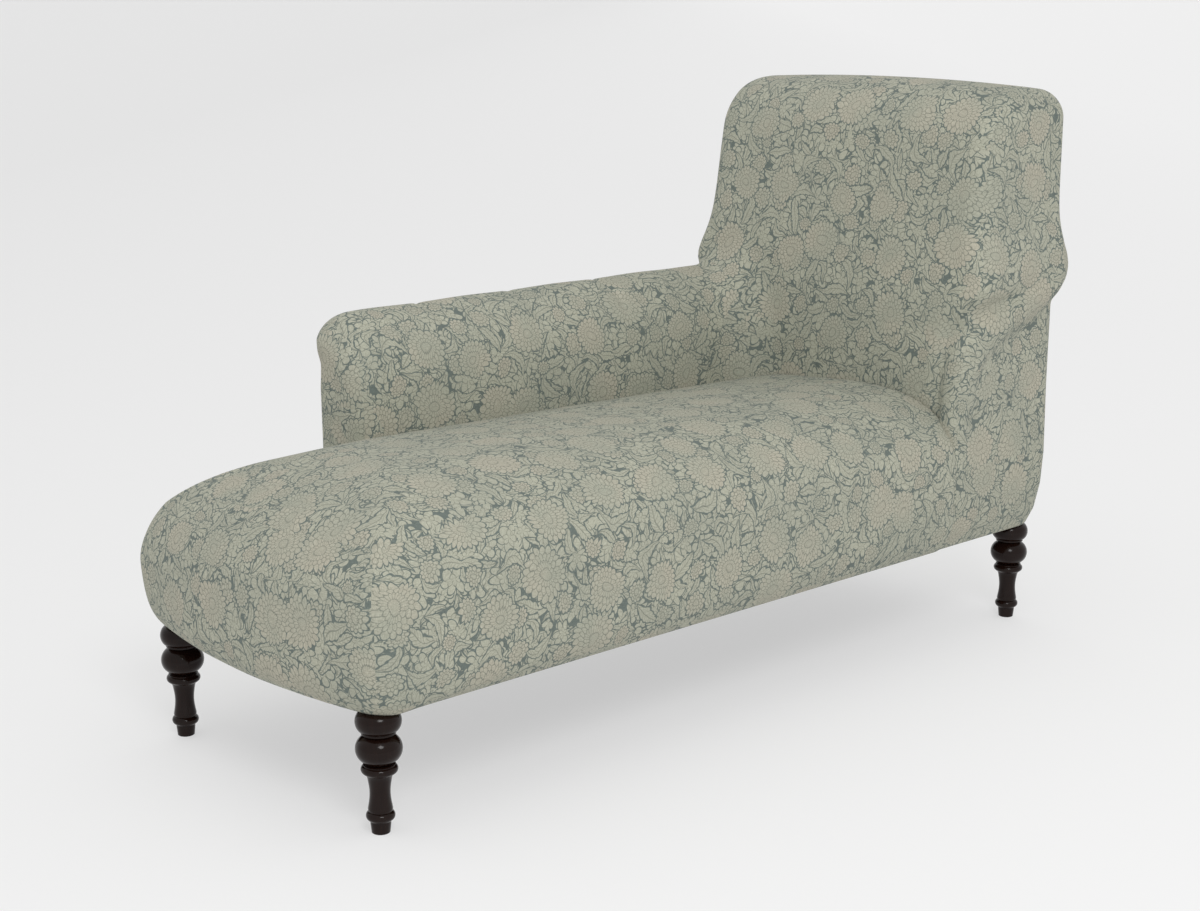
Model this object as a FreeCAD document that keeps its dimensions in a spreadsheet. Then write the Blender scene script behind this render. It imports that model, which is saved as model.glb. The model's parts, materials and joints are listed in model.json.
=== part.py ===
import FreeCAD, Part
import Sketcher
import math
import os
import re
from FreeCAD import Placement, Vector

# Right-hand chaise longue: a sprung seat with a bowed foot end, a high back across the head end,
# a low back along the far side and a short rolled arm on the near side, on four turned legs.
#
# Frame of the part: millimetres, +Z up, the floor at z = 0. +X runs from the foot end to the head
# end and +Y from the near side to the far side, where the low back is. The origin lies on the
# floor, half way along the length and half way across the width.

# Driving sizes. Each has its own name in the sheet.
SIZES = {
    # Over all
    "overall_length": 1552.0,
    "overall_height": 975.0,
    "overall_half_width": 341.5,
    # Legs: where they stand, and the turned outline as radii and heights
    "leg_height": 180.0,
    "leg_half_spacing": 253.5,
    "leg_from_foot_tip": 82.0,
    "leg_from_head_face": 31.0,
    "toe_radius": 14.0,
    "ankle_radius": 20.5,
    "ankle_start": 18.6,
    "ankle_low": 21.8,
    "ankle_high": 28.8,
    "shaft_radius": 17.5,
    "shaft_start": 36.0,
    "shaft_end": 83.0,
    "waist_radius": 14.9,
    "waist_low": 46.0,
    "waist_high": 73.0,
    "collar_radius": 26.0,
    "collar_low": 90.4,
    "collar_high": 97.2,
    "ball_radius": 33.0,
    "ball_height": 124.8,
    "ball_start": 101.5,
    "ball_end": 145.5,
    "groove_radius": 24.5,
    "groove_height": 147.0,
    "bun_radius": 32.5,
    "bun_low": 153.0,
    "bun_high": 172.0,
    "bun_top_radius": 27.0,
    # Seat frame
    "rail_height": 88.0,
    "rail_thickness": 32.0,
    "block_size": 68.0,
    "leg_to_side_face": 21.0,
    "leg_to_foot_face": 15.0,
    "leg_to_head_face": 20.0,
    "tenon_length": 30.0,
    "tenon_thickness": 12.0,
    "tenon_height": 46.0,
    "tenon_below_top": 8.0,
    "joint_clearance": 0.1,
    "cross_rail_thickness": 28.0,
    "back_cross_rail": 271.0,
    # Seat suspension
    "webbing_width": 50.0,
    "webbing_thickness": 1.5,
    "spring_height": 150.0,
    "spring_end_radius": 55.0,
    "spring_waist_radius": 38.0,
    "spring_wire": 3.6,
    "spring_turns": 3.0,
    "spring_half_spacing_across": 110.0,
    "canvas_thickness": 1.2,
    "dust_cover_thickness": 1.0,
    "canvas_ledge": 46.0,
    # Seat form
    "cover_margin": 3.0,
    "tool_overrun": 50.0,
    "seat_swell": 35.0,
    "foot_bow_radius": 885.0,
    "base_corner_radius": 45.0,
    "swell_height": 325.0,
    "seat_shoulder": 125.0,
    "seat_crown": 9.0,
    "seat_crown_reach": 275.0,
    "seat_fullness": 2.8,
    "seat_rake_along": 0.02,
    "seat_rake_across": 0.08,
    # Covers
    "cover_thickness": 1.7,
    "soft_clearance": 0.3,
    # Low back and arm, one section
    "wall_inner": 180.0,
    "wall_crest_height": 627.0,
    "wall_crest_offset": 288.0,
    "wall_roll_height": 592.0,
    "wall_crease_offset": 317.0,
    "wall_crease_height": 560.0,
    "wall_side_swell": 36.0,
    "low_back_front": 388.0,
    "low_back_end_radius": 58.0,
    "low_back_top_radius": 45.0,
    "arm_length": 300.0,
    "arm_top_radius": 100.0,
    "arm_end_radius": 36.0,
    "arm_inner": 205.0,
    "rear_corner_radius": 52.0,
    # High back
    "back_depth": 276.0,
    "back_lean_start": 560.0,
    "back_lean": 0.165,
    "back_half_width": 321.0,
    "back_flare": 20.0,
    "back_flare_height": 650.0,
    "back_flare_reach": 70.0,
    "back_top_radius": 84.0,
    "back_corner_radius": 72.0,
    "back_front_edge_radius": 38.0,
    "wall_join_height": 615.0,
    # Back, low back and arm frames
    "post_depth": 60.0,
    "post_width": 32.0,
    "post_below_top": 70.0,
    "crest_rail_height": 85.0,
    "board_thickness": 32.0,
    "middle_rail_bottom": 590.0,
    "middle_rail_height": 60.0,
    "tack_rail_bottom": 330.0,
    "tack_rail_height": 45.0,
    "wall_post_depth": 45.0,
    "wall_frame_top": 585.0,
    "wall_rail_height": 50.0,
    "low_back_post_inset": 30.0,
    "arm_post_inset": 50.0,
    "back_strip_count": 4.0,
    "hessian_thickness": 1.2,
}

doc = FreeCAD.newDocument("chaise_longue")
sheet = doc.addObject("Spreadsheet::Sheet", "sizes")
for row, (name, number) in enumerate(SIZES.items(), start=1):
    sheet.set("A%d" % row, name)
    sheet.set("B%d" % row, "%g" % number)
    sheet.setAlias("B%d" % row, name)
doc.recompute()


class Sizes:
    """The sheet's values, read by name."""

    def __getattr__(self, name):
        return float(sheet.get(name))


s = Sizes()
parts = []


def bind(feature, prop, formula):
    """Tie a property to the sheet: each word of the formula that is a size is read there."""
    def cell(word):
        return "sizes." + word.group() if word.group() in SIZES else word.group()
    feature.setExpression(prop, re.sub("[a-z_]+", cell, formula))


def keep(feature, label):
    """Mark a feature as a sub-part that is written to its own file."""
    feature.Label = label
    parts.append(feature)
    return feature


def block(name, corner, size):
    """A box from formulas for its low corner and its three sizes."""
    box = doc.addObject("Part::Box", name)
    for prop, formula in zip(("Length", "Width", "Height"), size):
        bind(box, prop, formula)
    for axis, formula in zip("xyz", corner):
        bind(box, "Placement.Base." + axis, formula)
    return box


def fused(name, pieces):
    joined = doc.addObject("Part::MultiFuse", name)
    joined.Shapes = pieces
    return joined


def cut_away(name, base, tools):
    """The base less the tools, which are joined first where there are several."""
    tool = tools[0] if len(tools) == 1 else fused(name + "_tools", tools)
    cut = doc.addObject("Part::Cut", name)
    cut.Base = base
    cut.Tool = tool
    return cut


def solid_feature(label, shape):
    """A sub-part whose shape is worked out here from the sheet's values."""
    feature = doc.addObject("Part::Feature", label)
    feature.Shape = shape
    feature.Placement = Placement()
    return keep(feature, label)


# Places that several pieces share, as formulas
FOOT_TIP = "(-overall_length / 2)"
HEAD_FACE = "(overall_length / 2)"
LEG_FOOT_X = "(-overall_length / 2 + leg_from_foot_tip)"
LEG_HEAD_X = "(overall_length / 2 - leg_from_head_face)"
SIDE_FACE = "(leg_half_spacing + leg_to_side_face)"
FRAME_TOP = "(leg_height + rail_height)"
FOOT_BLOCK_IN = "(-overall_length / 2 + leg_from_foot_tip - leg_to_foot_face + block_size)"
HEAD_BLOCK_IN = "(overall_length / 2 - leg_from_head_face + leg_to_head_face - block_size)"
FOOT_RAIL_IN = "(-overall_length / 2 + leg_from_foot_tip - leg_to_foot_face + rail_thickness)"
BACK_RAIL_X = "(overall_length / 2 - back_cross_rail)"
POST_TOP = "(overall_height - post_below_top)"

# The same places as numbers, for the pieces whose shape is worked out here
foot_tip = -s.overall_length / 2
head_face = s.overall_length / 2
leg_foot_x = foot_tip + s.leg_from_foot_tip
leg_head_x = head_face - s.leg_from_head_face
side_face = s.leg_half_spacing + s.leg_to_side_face
head_frame_face = leg_head_x + s.leg_to_head_face
frame_top = s.leg_height + s.rail_height
base_half_width = side_face + s.cover_margin
base_z = s.leg_height - 2 * s.webbing_thickness - s.dust_cover_thickness
base_tip = foot_tip + s.seat_swell - s.cover_margin
post_front = head_frame_face - s.post_depth
back_front_x = head_face - s.back_depth
arm_front_x = head_face - s.arm_length
low_back_front_x = foot_tip + s.low_back_front
well_half_width = side_face - s.canvas_ledge
canvas_z = s.leg_height + s.spring_height
foot_rail_in = leg_foot_x - s.leg_to_foot_face + s.rail_thickness
spring_bay = (head_face - s.back_cross_rail - foot_rail_in) / 3
post_top = s.overall_height - s.post_below_top


# Legs: one turned outline, repeated at the four corners
def origin_plane(body, role):
    return [feature for feature in body.Origin.OriginFeatures if feature.Role == role][0]


class TurnedOutline:
    """Half outline of a turned piece: x is the radius, y the height, every size from the sheet."""

    def __init__(self, body, name):
        self.sketch = body.newObject("Sketcher::SketchObject", name)
        self.sketch.AttachmentSupport = [(origin_plane(body, "XZ_Plane"), "")]
        self.sketch.MapMode = "FlatFace"
        self.place = Vector(0, 0, 0)
        self.end = None

    def tie(self, kind, geometry, point, name):
        index = self.sketch.addConstraint(Sketcher.Constraint(kind, -1, 1, geometry, point, getattr(s, name)))
        self.sketch.setExpression("Constraints[%d]" % index, "sizes." + name)

    def fix(self, geometry, point, radius, height):
        """Hold a point at a radius and a height, on the axis or on the floor where one is None."""
        if radius is None:
            self.sketch.addConstraint(Sketcher.Constraint("PointOnObject", geometry, point, -2))
        elif radius:
            self.tie("DistanceX", geometry, point, radius)
        if height is None:
            self.sketch.addConstraint(Sketcher.Constraint("PointOnObject", geometry, point, -1))
        elif height:
            self.tie("DistanceY", geometry, point, height)

    def join(self, geometry, first_point, last_point, last_place):
        if self.end:
            self.sketch.addConstraint(Sketcher.Constraint("Coincident", self.end[0], self.end[1],
                                                          geometry, first_point))
        self.end = (geometry, last_point)
        self.place = last_place

    def line(self, radius, height):
        target = Vector(getattr(s, radius) if radius else 0, getattr(s, height) if height else 0, 0)
        geometry = self.sketch.addGeometry(Part.LineSegment(self.place, target), False)
        self.join(geometry, 1, 2, target)
        self.fix(geometry, 2, radius, height)

    def ring(self, name):
        """A narrow ring with eased edges."""
        self.line(name + "_radius", name + "_low")
        self.line(name + "_radius", name + "_high")

    def bead(self, core, bead, height, start, end):
        """A rounded bead round a core circle, from one height to another."""
        bead_radius = getattr(s, bead)
        core_radius = getattr(s, core) if core else 0
        centre = Vector(core_radius, getattr(s, height), 0)
        low = math.asin((getattr(s, start) - centre.y) / bead_radius)
        high = math.asin((getattr(s, end) - centre.y) / bead_radius)
        first = centre + Vector(math.cos(low), math.sin(low), 0) * bead_radius
        last = centre + Vector(math.cos(high), math.sin(high), 0) * bead_radius
        step = self.sketch.addGeometry(Part.LineSegment(self.place, first), False)
        self.join(step, 1, 2, first)
        circle = Part.Circle(centre, Vector(0, 0, 1), bead_radius)
        geometry = self.sketch.addGeometry(Part.ArcOfCircle(circle, low, high), False)
        self.join(geometry, 1, 2, last)
        index = self.sketch.addConstraint(Sketcher.Constraint("Radius", geometry, bead_radius))
        self.sketch.setExpression("Constraints[%d]" % index, "sizes." + bead)
        self.fix(geometry, 3, core, height)
        self.tie("DistanceY", geometry, 1, start)
        self.tie("DistanceY", geometry, 2, end)


def turned_legs():
    body = doc.addObject("PartDesign::Body", "leg_body")
    turned = TurnedOutline(body, "leg_outline")
    turned.line("toe_radius", None)
    turned.line("toe_radius", "ankle_start")
    turned.ring("ankle")
    turned.line("shaft_radius", "shaft_start")
    turned.line("waist_radius", "waist_low")
    turned.line("waist_radius", "waist_high")
    turned.line("shaft_radius", "shaft_end")
    turned.ring("collar")
    turned.bead(None, "ball_radius", "ball_height", "ball_start", "ball_end")
    turned.line("groove_radius", "groove_height")
    turned.ring("bun")
    turned.line("bun_top_radius", "leg_height")
    turned.line(None, "leg_height")
    turned.line(None, None)
    sketch = turned.sketch
    doc.recompute()
    revolve = body.newObject("PartDesign::Revolution", "leg_turning")
    revolve.Profile = sketch
    revolve.ReferenceAxis = (sketch, ["V_Axis"])
    revolve.Angle = 360
    doc.recompute()
    four = body.newObject("PartDesign::MultiTransform", "four_legs")
    four.Originals = [revolve]
    along = body.newObject("PartDesign::LinearPattern", "along_the_seat")
    along.Direction = (origin_plane(body, "X_Axis"), [""])
    bind(along, "Length", LEG_HEAD_X + " - " + LEG_FOOT_X)
    along.Occurrences = 2
    across = body.newObject("PartDesign::LinearPattern", "across_the_seat")
    across.Direction = (origin_plane(body, "Y_Axis"), [""])
    bind(across, "Length", "leg_half_spacing * 2")
    across.Occurrences = 2
    four.Transformations = [along, across]
    body.Tip = four
    bind(body, "Placement.Base.x", LEG_FOOT_X)
    bind(body, "Placement.Base.y", "-leg_half_spacing")
    keep(body, "turned_legs")


# Seat frame: four corner blocks, with the rails tenoned between them
TENON_Z = "(leg_height + rail_height - tenon_below_top - tenon_height)"
TENON_MIDDLE = "(rail_thickness / 2 - tenon_thickness / 2)"


def leg_block(side_name, side, end_name, end):
    """A corner block with the mortises of its two rails; its leg is screwed up under it."""
    name = "%s_%s_block" % (side_name, end_name)
    outer_y = SIDE_FACE + " * %d" % side
    low_y = outer_y if side < 0 else outer_y + " - block_size"
    if end < 0:
        low_x = FOOT_BLOCK_IN + " - block_size"
        mortise_x = FOOT_BLOCK_IN + " - tenon_length"
        cross_mortise_x = FOOT_BLOCK_IN + " - block_size + " + TENON_MIDDLE
    else:
        low_x = HEAD_BLOCK_IN
        mortise_x = HEAD_BLOCK_IN
        cross_mortise_x = HEAD_BLOCK_IN + " + block_size - rail_thickness + " + TENON_MIDDLE
    wood = block(name + "_wood", (low_x, low_y, "leg_height"), ("block_size", "block_size", "rail_height"))
    rail_y = "(%s - %s - tenon_thickness)" % (SIDE_FACE, TENON_MIDDLE)
    long_mortise_y = rail_y if side > 0 else "-%s - tenon_thickness" % rail_y
    grow = "joint_clearance"
    long_mortise = block(name + "_long_mortise",
                         (mortise_x + " - " + grow, long_mortise_y + " - " + grow, TENON_Z + " - " + grow),
                         ("tenon_length + 2 * " + grow, "tenon_thickness + 2 * " + grow,
                          "tenon_height + 2 * " + grow))
    cross_y = "%s - block_size" % SIDE_FACE if side > 0 else "-%s + block_size - tenon_length" % SIDE_FACE
    cross_mortise = block(name + "_cross_mortise",
                          (cross_mortise_x + " - " + grow, cross_y + " - " + grow, TENON_Z + " - " + grow),
                          ("tenon_thickness + 2 * " + grow, "tenon_length + 2 * " + grow,
                           "tenon_height + 2 * " + grow))
    cut = cut_away(name + "_cut", wood, [long_mortise, cross_mortise])
    doc.recompute()
    rounded = doc.addObject("Part::Fillet", name)
    rounded.Base = cut
    edge = outer_edge(cut.Shape, side, end)
    radius = s.base_corner_radius - s.cover_margin
    rounded.Edges = [(edge, radius, radius)]
    keep(rounded, name)


def outer_edge(shape, side, end):
    """Number of the upright edge at a block's outer corner."""
    box = shape.BoundBox
    corner_x = box.XMin if end < 0 else box.XMax
    corner_y = box.YMin if side < 0 else box.YMax
    for number, edge in enumerate(shape.Edges, start=1):
        middle = edge.CenterOfMass
        upright = abs(edge.BoundBox.ZLength - box.ZLength) < 1e-6
        if upright and abs(middle.x - corner_x) < 1e-6 and abs(middle.y - corner_y) < 1e-6:
            return number
    raise ValueError("no outer edge")


def long_rail(side_name, side):
    name = side_name + "_long_rail"
    low_y = "-" + SIDE_FACE if side < 0 else SIDE_FACE + " - rail_thickness"
    length = "(%s - %s)" % (HEAD_BLOCK_IN, FOOT_BLOCK_IN)
    board = block(name + "_board", (FOOT_BLOCK_IN, low_y, "leg_height"),
                  (length, "rail_thickness", "rail_height"))
    tongue = block(name + "_tenons", (FOOT_BLOCK_IN + " - tenon_length", low_y + " + " + TENON_MIDDLE, TENON_Z),
                   (length + " + 2 * tenon_length", "tenon_thickness", "tenon_height"))
    keep(fused(name, [board, tongue]), name)


def head_end_rail():
    name = "head_end_rail"
    width = "(2 * (%s - block_size))" % SIDE_FACE
    low_x = HEAD_BLOCK_IN + " + block_size - rail_thickness"
    board = block(name + "_board", (low_x, "-%s / 2" % width, "leg_height"),
                  ("rail_thickness", width, "rail_height"))
    tongue = block(name + "_tenons", (low_x + " + " + TENON_MIDDLE, "-%s / 2 - tenon_length" % width, TENON_Z),
                   ("tenon_thickness", width + " + 2 * tenon_length", "tenon_height"))
    keep(fused(name, [board, tongue]), name)


def bowed_foot_rail():
    """Sawn rail whose outer face follows the bow of the foot end."""
    half = side_face - s.block_size
    outer = bow_point(base_tip + s.cover_margin, s.foot_bow_radius - s.cover_margin, half)
    inner_x = foot_rail_in
    tip = Vector(base_tip + s.cover_margin, 0, 0)
    near_out = Vector(outer.x, -half, 0)
    near_in = Vector(inner_x, -half, 0)
    far_in = Vector(inner_x, half, 0)
    outline = Part.Wire([Part.Arc(outer, tip, near_out).toShape(), Part.makeLine(near_out, near_in),
                         Part.makeLine(near_in, far_in), Part.makeLine(far_in, outer)])
    rail = Part.Face(outline).extrude(Vector(0, 0, s.rail_height))
    rail.translate(Vector(0, 0, s.leg_height))
    tenon_x = leg_foot_x - s.leg_to_foot_face + s.rail_thickness / 2 - s.tenon_thickness / 2
    tenon_z = frame_top - s.tenon_below_top - s.tenon_height
    reach = half + s.tenon_length
    tongue = Part.makeBox(s.tenon_thickness, 2 * reach, s.tenon_height, Vector(tenon_x, -reach, tenon_z))
    solid_feature("bowed_foot_rail", rail.fuse(tongue).removeSplitter())


def cross_rail(name, bays):
    """A rail across the seat, housed between the long rails so many bays from the foot rail."""
    half = "(%s - rail_thickness)" % SIDE_FACE
    middle = "(%s + (%s - %s) * %d / 3)" % (FOOT_RAIL_IN, BACK_RAIL_X, FOOT_RAIL_IN, bays)
    rail = block(name, (middle + " - cross_rail_thickness / 2",
                        "-%s + joint_clearance" % half, "leg_height"),
                 ("cross_rail_thickness", "2 * %s - 2 * joint_clearance" % half, "rail_height"))
    keep(rail, name)


# Seat suspension: webbing under the rails, coil springs on it and canvas over them
def strips(label, count, first_centre, last_centre, low_end, high_end, low, thickness, along):
    """Webbing strips side by side: along is the row axis that they run on."""
    pitch = (last_centre - first_centre) / (count - 1)
    lengths = high_end - low_end
    solids = []
    for number in range(count):
        centre = first_centre + number * pitch
        side = centre - s.webbing_width / 2
        if along == "x":
            solids.append(Part.makeBox(lengths, s.webbing_width, thickness, Vector(low_end, side, low)))
        else:
            solids.append(Part.makeBox(s.webbing_width, lengths, thickness, Vector(side, low_end, low)))
    solid_feature(label, Part.Compound(solids))


def seat_webbing():
    thickness = s.webbing_thickness
    low_x = leg_foot_x + s.leg_to_foot_face
    high_x = head_face - s.back_cross_rail + s.cross_rail_thickness / 2
    across = s.spring_half_spacing_across
    strips("seat_webbing_lengthwise", 5, -across, across, low_x, high_x,
           s.leg_height - thickness, thickness, "x")
    rows = spring_rows()
    strips("seat_webbing_crosswise", 6, rows[0], rows[-1], -side_face + s.cover_margin,
           side_face - s.cover_margin, s.leg_height - 2 * thickness, thickness, "y")


def spring_rows():
    """Places of the spring rows along the seat: two in each bay between the cross rails."""
    return [foot_rail_in + (number + 0.5) * spring_bay / 2 for number in range(6)]


def coil_spring():
    """One waisted spring: square wire bent round a helix of straight steps."""
    steps_per_turn = 5
    steps = int(round(s.spring_turns * steps_per_turn))
    half = s.spring_wire / 2
    rise = s.spring_height - 1.2 * s.spring_wire - 2 * s.soft_clearance
    points = []
    for step in range(steps + 1):
        share = step / steps
        angle = 2 * math.pi * step / steps_per_turn
        waist = 1 - (2 * share - 1) ** 2
        radius = s.spring_end_radius - half - (s.spring_end_radius - s.spring_waist_radius) * waist
        points.append(Vector(radius * math.cos(angle), radius * math.sin(angle),
                             half + s.soft_clearance + rise * share))
    ahead = (points[1] - points[0]).normalize()
    across = ahead.cross(Vector(0, 0, 1)).normalize() * half
    up = across.cross(ahead).normalize() * half
    corners = [points[0] + across + up, points[0] + across - up,
               points[0] - across - up, points[0] - across + up]
    square = Part.makePolygon(corners + corners[:1])
    return Part.Wire(Part.makePolygon(points)).makePipeShell([square], True, False, 1)


def seat_springs():
    spring = coil_spring()
    solids = []
    for x in spring_rows():
        for side in (-1, 1):
            placed = spring.copy()
            placed.translate(Vector(x, side * s.spring_half_spacing_across, s.leg_height))
            solids.append(placed)
    solid_feature("seat_springs", Part.Compound(solids))


def spring_canvas():
    low_x = leg_foot_x + s.canvas_ledge
    high_x = back_front_x - s.rail_thickness
    width = well_half_width + s.wall_inner - 2 * s.soft_clearance
    sheet_cloth = Part.makeBox(high_x - low_x, width, s.canvas_thickness,
                               Vector(low_x, -well_half_width, canvas_z))
    solid_feature("spring_canvas", sheet_cloth)


def dust_cover():
    """Thin cloth under the frame, cut round the legs."""
    outline = bowed_outline(s.cover_margin + 2, base_tip, base_half_width,
                            head_frame_face, s.base_corner_radius)
    cloth = Part.Face(outline).extrude(Vector(0, 0, s.dust_cover_thickness))
    cloth.translate(Vector(0, 0, base_z))
    hole_radius = s.ball_radius + s.cover_margin
    for x in (leg_foot_x, leg_head_x):
        for y in (-s.leg_half_spacing, s.leg_half_spacing):
            hole = Part.makeCylinder(hole_radius, 3 * s.cover_margin, Vector(x, y, base_z - s.cover_margin))
            cloth = cloth.cut(hole)
    solid_feature("dust_cover", cloth)


# Seat form: level outlines with a bowed foot end, stacked and lofted
# Roundings of the padded forms are made of so many straight steps
CORNER_STEPS = 3


def bow_point(tip, radius, y):
    return Vector(tip + radius - math.sqrt(radius ** 2 - y ** 2), y, 0)


def stepped(wire, steps):
    """The same outline with each rounding made of that many straight steps."""
    points = []
    for edge in wire.OrderedEdges:
        straight = isinstance(edge.Curve, Part.Line)
        along = edge.discretize(Number=2 if straight else steps + 1)
        if edge.Orientation == "Reversed":
            along.reverse()
        points += along[:-1]
    return Part.makePolygon(points + points[:1])


def bowed_outline(inset, tip, half_width, head, corner, lift=None):
    """Closed outline: straight sides, rounded foot corners and a bow that runs through the tip."""
    bow = s.foot_bow_radius - inset
    bow_x = tip + inset + bow
    half = half_width - inset
    centre_y = half - corner
    centre = Vector(bow_x - math.sqrt((bow - corner) ** 2 - centre_y ** 2), centre_y, 0)
    toward = (centre - Vector(bow_x, 0, 0)).normalize()
    bow_end = Vector(bow_x, 0, 0) + toward * bow
    corner_middle = centre + (toward + Vector(0, 1, 0)).normalize() * corner
    far = [Vector(tip + inset, 0, 0), bow_end, corner_middle, Vector(centre.x, half, 0), Vector(head, half, 0)]
    near = [Vector(point.x, -point.y, 0) for point in far]
    if lift:
        far, near = [lift(point) for point in far], [lift(point) for point in near]
    return Part.Wire([Part.makeLine(near[4], near[3]), Part.Arc(near[3], near[2], near[1]).toShape(),
                      Part.Arc(near[1], far[0], far[1]).toShape(), Part.Arc(far[1], far[2], far[3]).toShape(),
                      Part.makeLine(far[3], far[4]), Part.makeLine(far[4], near[4])])


def seat_form(inset, beyond=0, plain=False):
    """The whole seat as if nothing stood on it, drawn in by an inset, open ends let run beyond.

    The plain one is cut foam, which leaves wadding between it and the cover.
    """
    swell_half_width = base_half_width + s.seat_swell + s.cover_margin
    rise_to_top = s.seat_shoulder + s.seat_crown
    reach = s.seat_crown_reach
    head = back_front_x + s.back_top_radius
    foot_of_form = base_z - beyond
    levels = []
    for share in (1.0, 0.66) if plain else (1.0, 0.66, 0.33):
        bulge = (1 - math.sqrt(1 - (share / 1.15) ** 2)) / (1 - math.sqrt(1 - 1 / 1.15 ** 2))
        levels.append((s.seat_swell * bulge, s.swell_height - share * (s.swell_height - foot_of_form)))
    for angle in (0, 23, 56, 80) if plain else (0, 11, 23, 38, 56, 80):
        turn = math.radians(angle)
        levels.append((reach * (1 - math.cos(turn) ** (2 / s.seat_fullness)),
                       s.swell_height + rise_to_top * math.sin(turn) ** (2 / s.seat_fullness)))
    wires = []
    for drawn_in, height in levels:
        raised = 1 if height > s.swell_height else 0
        corner = min(s.base_corner_radius + 0.5 * drawn_in, 0.6 * (swell_half_width - drawn_in))

        def lift(point, height=height, raised=raised):
            rake = -s.seat_rake_along * point.x - s.seat_rake_across * point.y
            return Vector(point.x, point.y, height + (rake - inset) * raised)

        outline = bowed_outline(drawn_in + inset, foot_tip, swell_half_width, head + beyond,
                                corner - inset, lift)
        wires.append(stepped(outline, 2 if plain else CORNER_STEPS))
    return Part.makeLoft(wires, True, True)


def seat_clearings():
    """Space of the low back, the arm and the high back, each with its clearance."""
    gap = s.soft_clearance
    tall = s.overall_height
    far = s.overall_half_width * 2
    low_back = Part.makeBox(tall * 2, far, tall, Vector(low_back_front_x - gap, s.wall_inner - gap, 0))
    arm = Part.makeBox(tall, far, tall, Vector(arm_front_x - gap, -s.arm_inner + gap - far, 0))
    back = Part.makeBox(tall, 2 * far, tall, Vector(back_front_x - gap, -far, 0))
    return low_back.fuse([arm, back])


def frame_block(gap):
    """Space of the seat frame up to its top, and of the springs above it."""
    outline = bowed_outline(s.cover_margin - gap, base_tip, base_half_width,
                            head_frame_face + gap, s.base_corner_radius)
    lower = Part.Face(outline).extrude(Vector(0, 0, frame_top + gap))
    well = Part.makeBox(back_front_x - leg_foot_x, 2 * (well_half_width + gap), s.spring_height,
                        Vector(leg_foot_x + s.canvas_ledge - gap, -well_half_width - gap,
                               canvas_z + s.canvas_thickness + gap - s.spring_height))
    return lower.fuse(well)


def seat_stuffing_and_cover():
    gap = s.soft_clearance
    outer = seat_form(0)
    lining = seat_form(s.cover_thickness, s.cover_margin)
    core = seat_form(s.cover_thickness + gap, plain=True)
    clearings = seat_clearings()
    frame = frame_block(gap)
    solid_feature("seat_cover", outer.cut(lining).cut(clearings).cut(frame).removeSplitter())
    solid_feature("seat_stuffing", core.cut(clearings).cut(frame).removeSplitter())


# Low back and arm: one rolled section, cut to a side view and a plan
def extruded(wire, direction):
    return Part.Face(wire).extrude(direction)


def inset_wire(wire, inset):
    if not inset:
        return wire
    join_type = 2 if inset < 0 else 0
    return Part.Face(wire).makeOffset2D(-inset, join_type).Wires[0]


def part_way(start, end, across, up):
    """A point between two others, by its share of the way across and up."""
    return Vector(0, start.y + across * (end.y - start.y), start.z + up * (end.z - start.z))


def wall_section(inner):
    """Section across a wall in y and z, rolled outwards at the top, for the far side."""
    base = Vector(0, base_half_width, base_z)
    swell = Vector(0, base_half_width + s.wall_side_swell, s.swell_height)
    under_roll = Vector(0, s.wall_crease_offset, s.wall_crease_height)
    roll = Vector(0, s.overall_half_width, s.wall_roll_height)
    crest = Vector(0, s.wall_crest_offset, s.wall_crest_height)
    inside_top = Vector(0, inner + s.cover_margin, s.wall_crease_height - 2 * s.wall_side_swell)
    inside_base = Vector(0, inner, base_z)
    lower_mid = part_way(base, swell, 0.72, 0.36)
    roll_low = part_way(under_roll, roll, 0.84, 0.44)
    roll_top = part_way(roll, crest, 0.31, 0.71)
    inside_mid = part_way(crest, inside_top, 0.64, 0.25)
    edges = [Part.Arc(base, lower_mid, swell).toShape(), Part.makeLine(swell, under_roll),
             Part.Arc(under_roll, roll_low, roll).toShape(), Part.Arc(roll, roll_top, crest).toShape(),
             Part.Arc(crest, inside_mid, inside_top).toShape(), Part.makeLine(inside_top, inside_base),
             Part.makeLine(inside_base, base)]
    return Part.Wire(edges)


def rounded_rectangle(low, high, radii):
    """Flat outline in x and y; radii run from the low corner round by +x, and 0 stays sharp."""
    corners = [Vector(low[0], low[1], 0), Vector(high[0], low[1], 0),
               Vector(high[0], high[1], 0), Vector(low[0], high[1], 0)]
    ahead = [Vector(1, 0, 0), Vector(0, 1, 0), Vector(-1, 0, 0), Vector(0, -1, 0)]
    rounds = []
    for number, (corner, radius) in enumerate(zip(corners, radii)):
        start = corner - ahead[number - 1] * radius
        end = corner + ahead[number] * radius
        centre = start + ahead[number] * radius
        rounds.append((start, centre + (corner - centre) / math.sqrt(2), end) if radius else (start,))
    edges = []
    for turned, following in zip(rounds, rounds[1:] + rounds[:1]):
        if len(turned) > 1:
            edges.append(Part.Arc(*turned).toShape())
        edges.append(Part.makeLine(turned[-1], following[0]))
    return Part.Wire(edges)


def upright(wire):
    """Turn an outline drawn in x and y so that its y becomes the height."""
    turned = wire.copy()
    turned.rotate(Vector(0, 0, 0), Vector(1, 0, 0), 90)
    return turned


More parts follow.
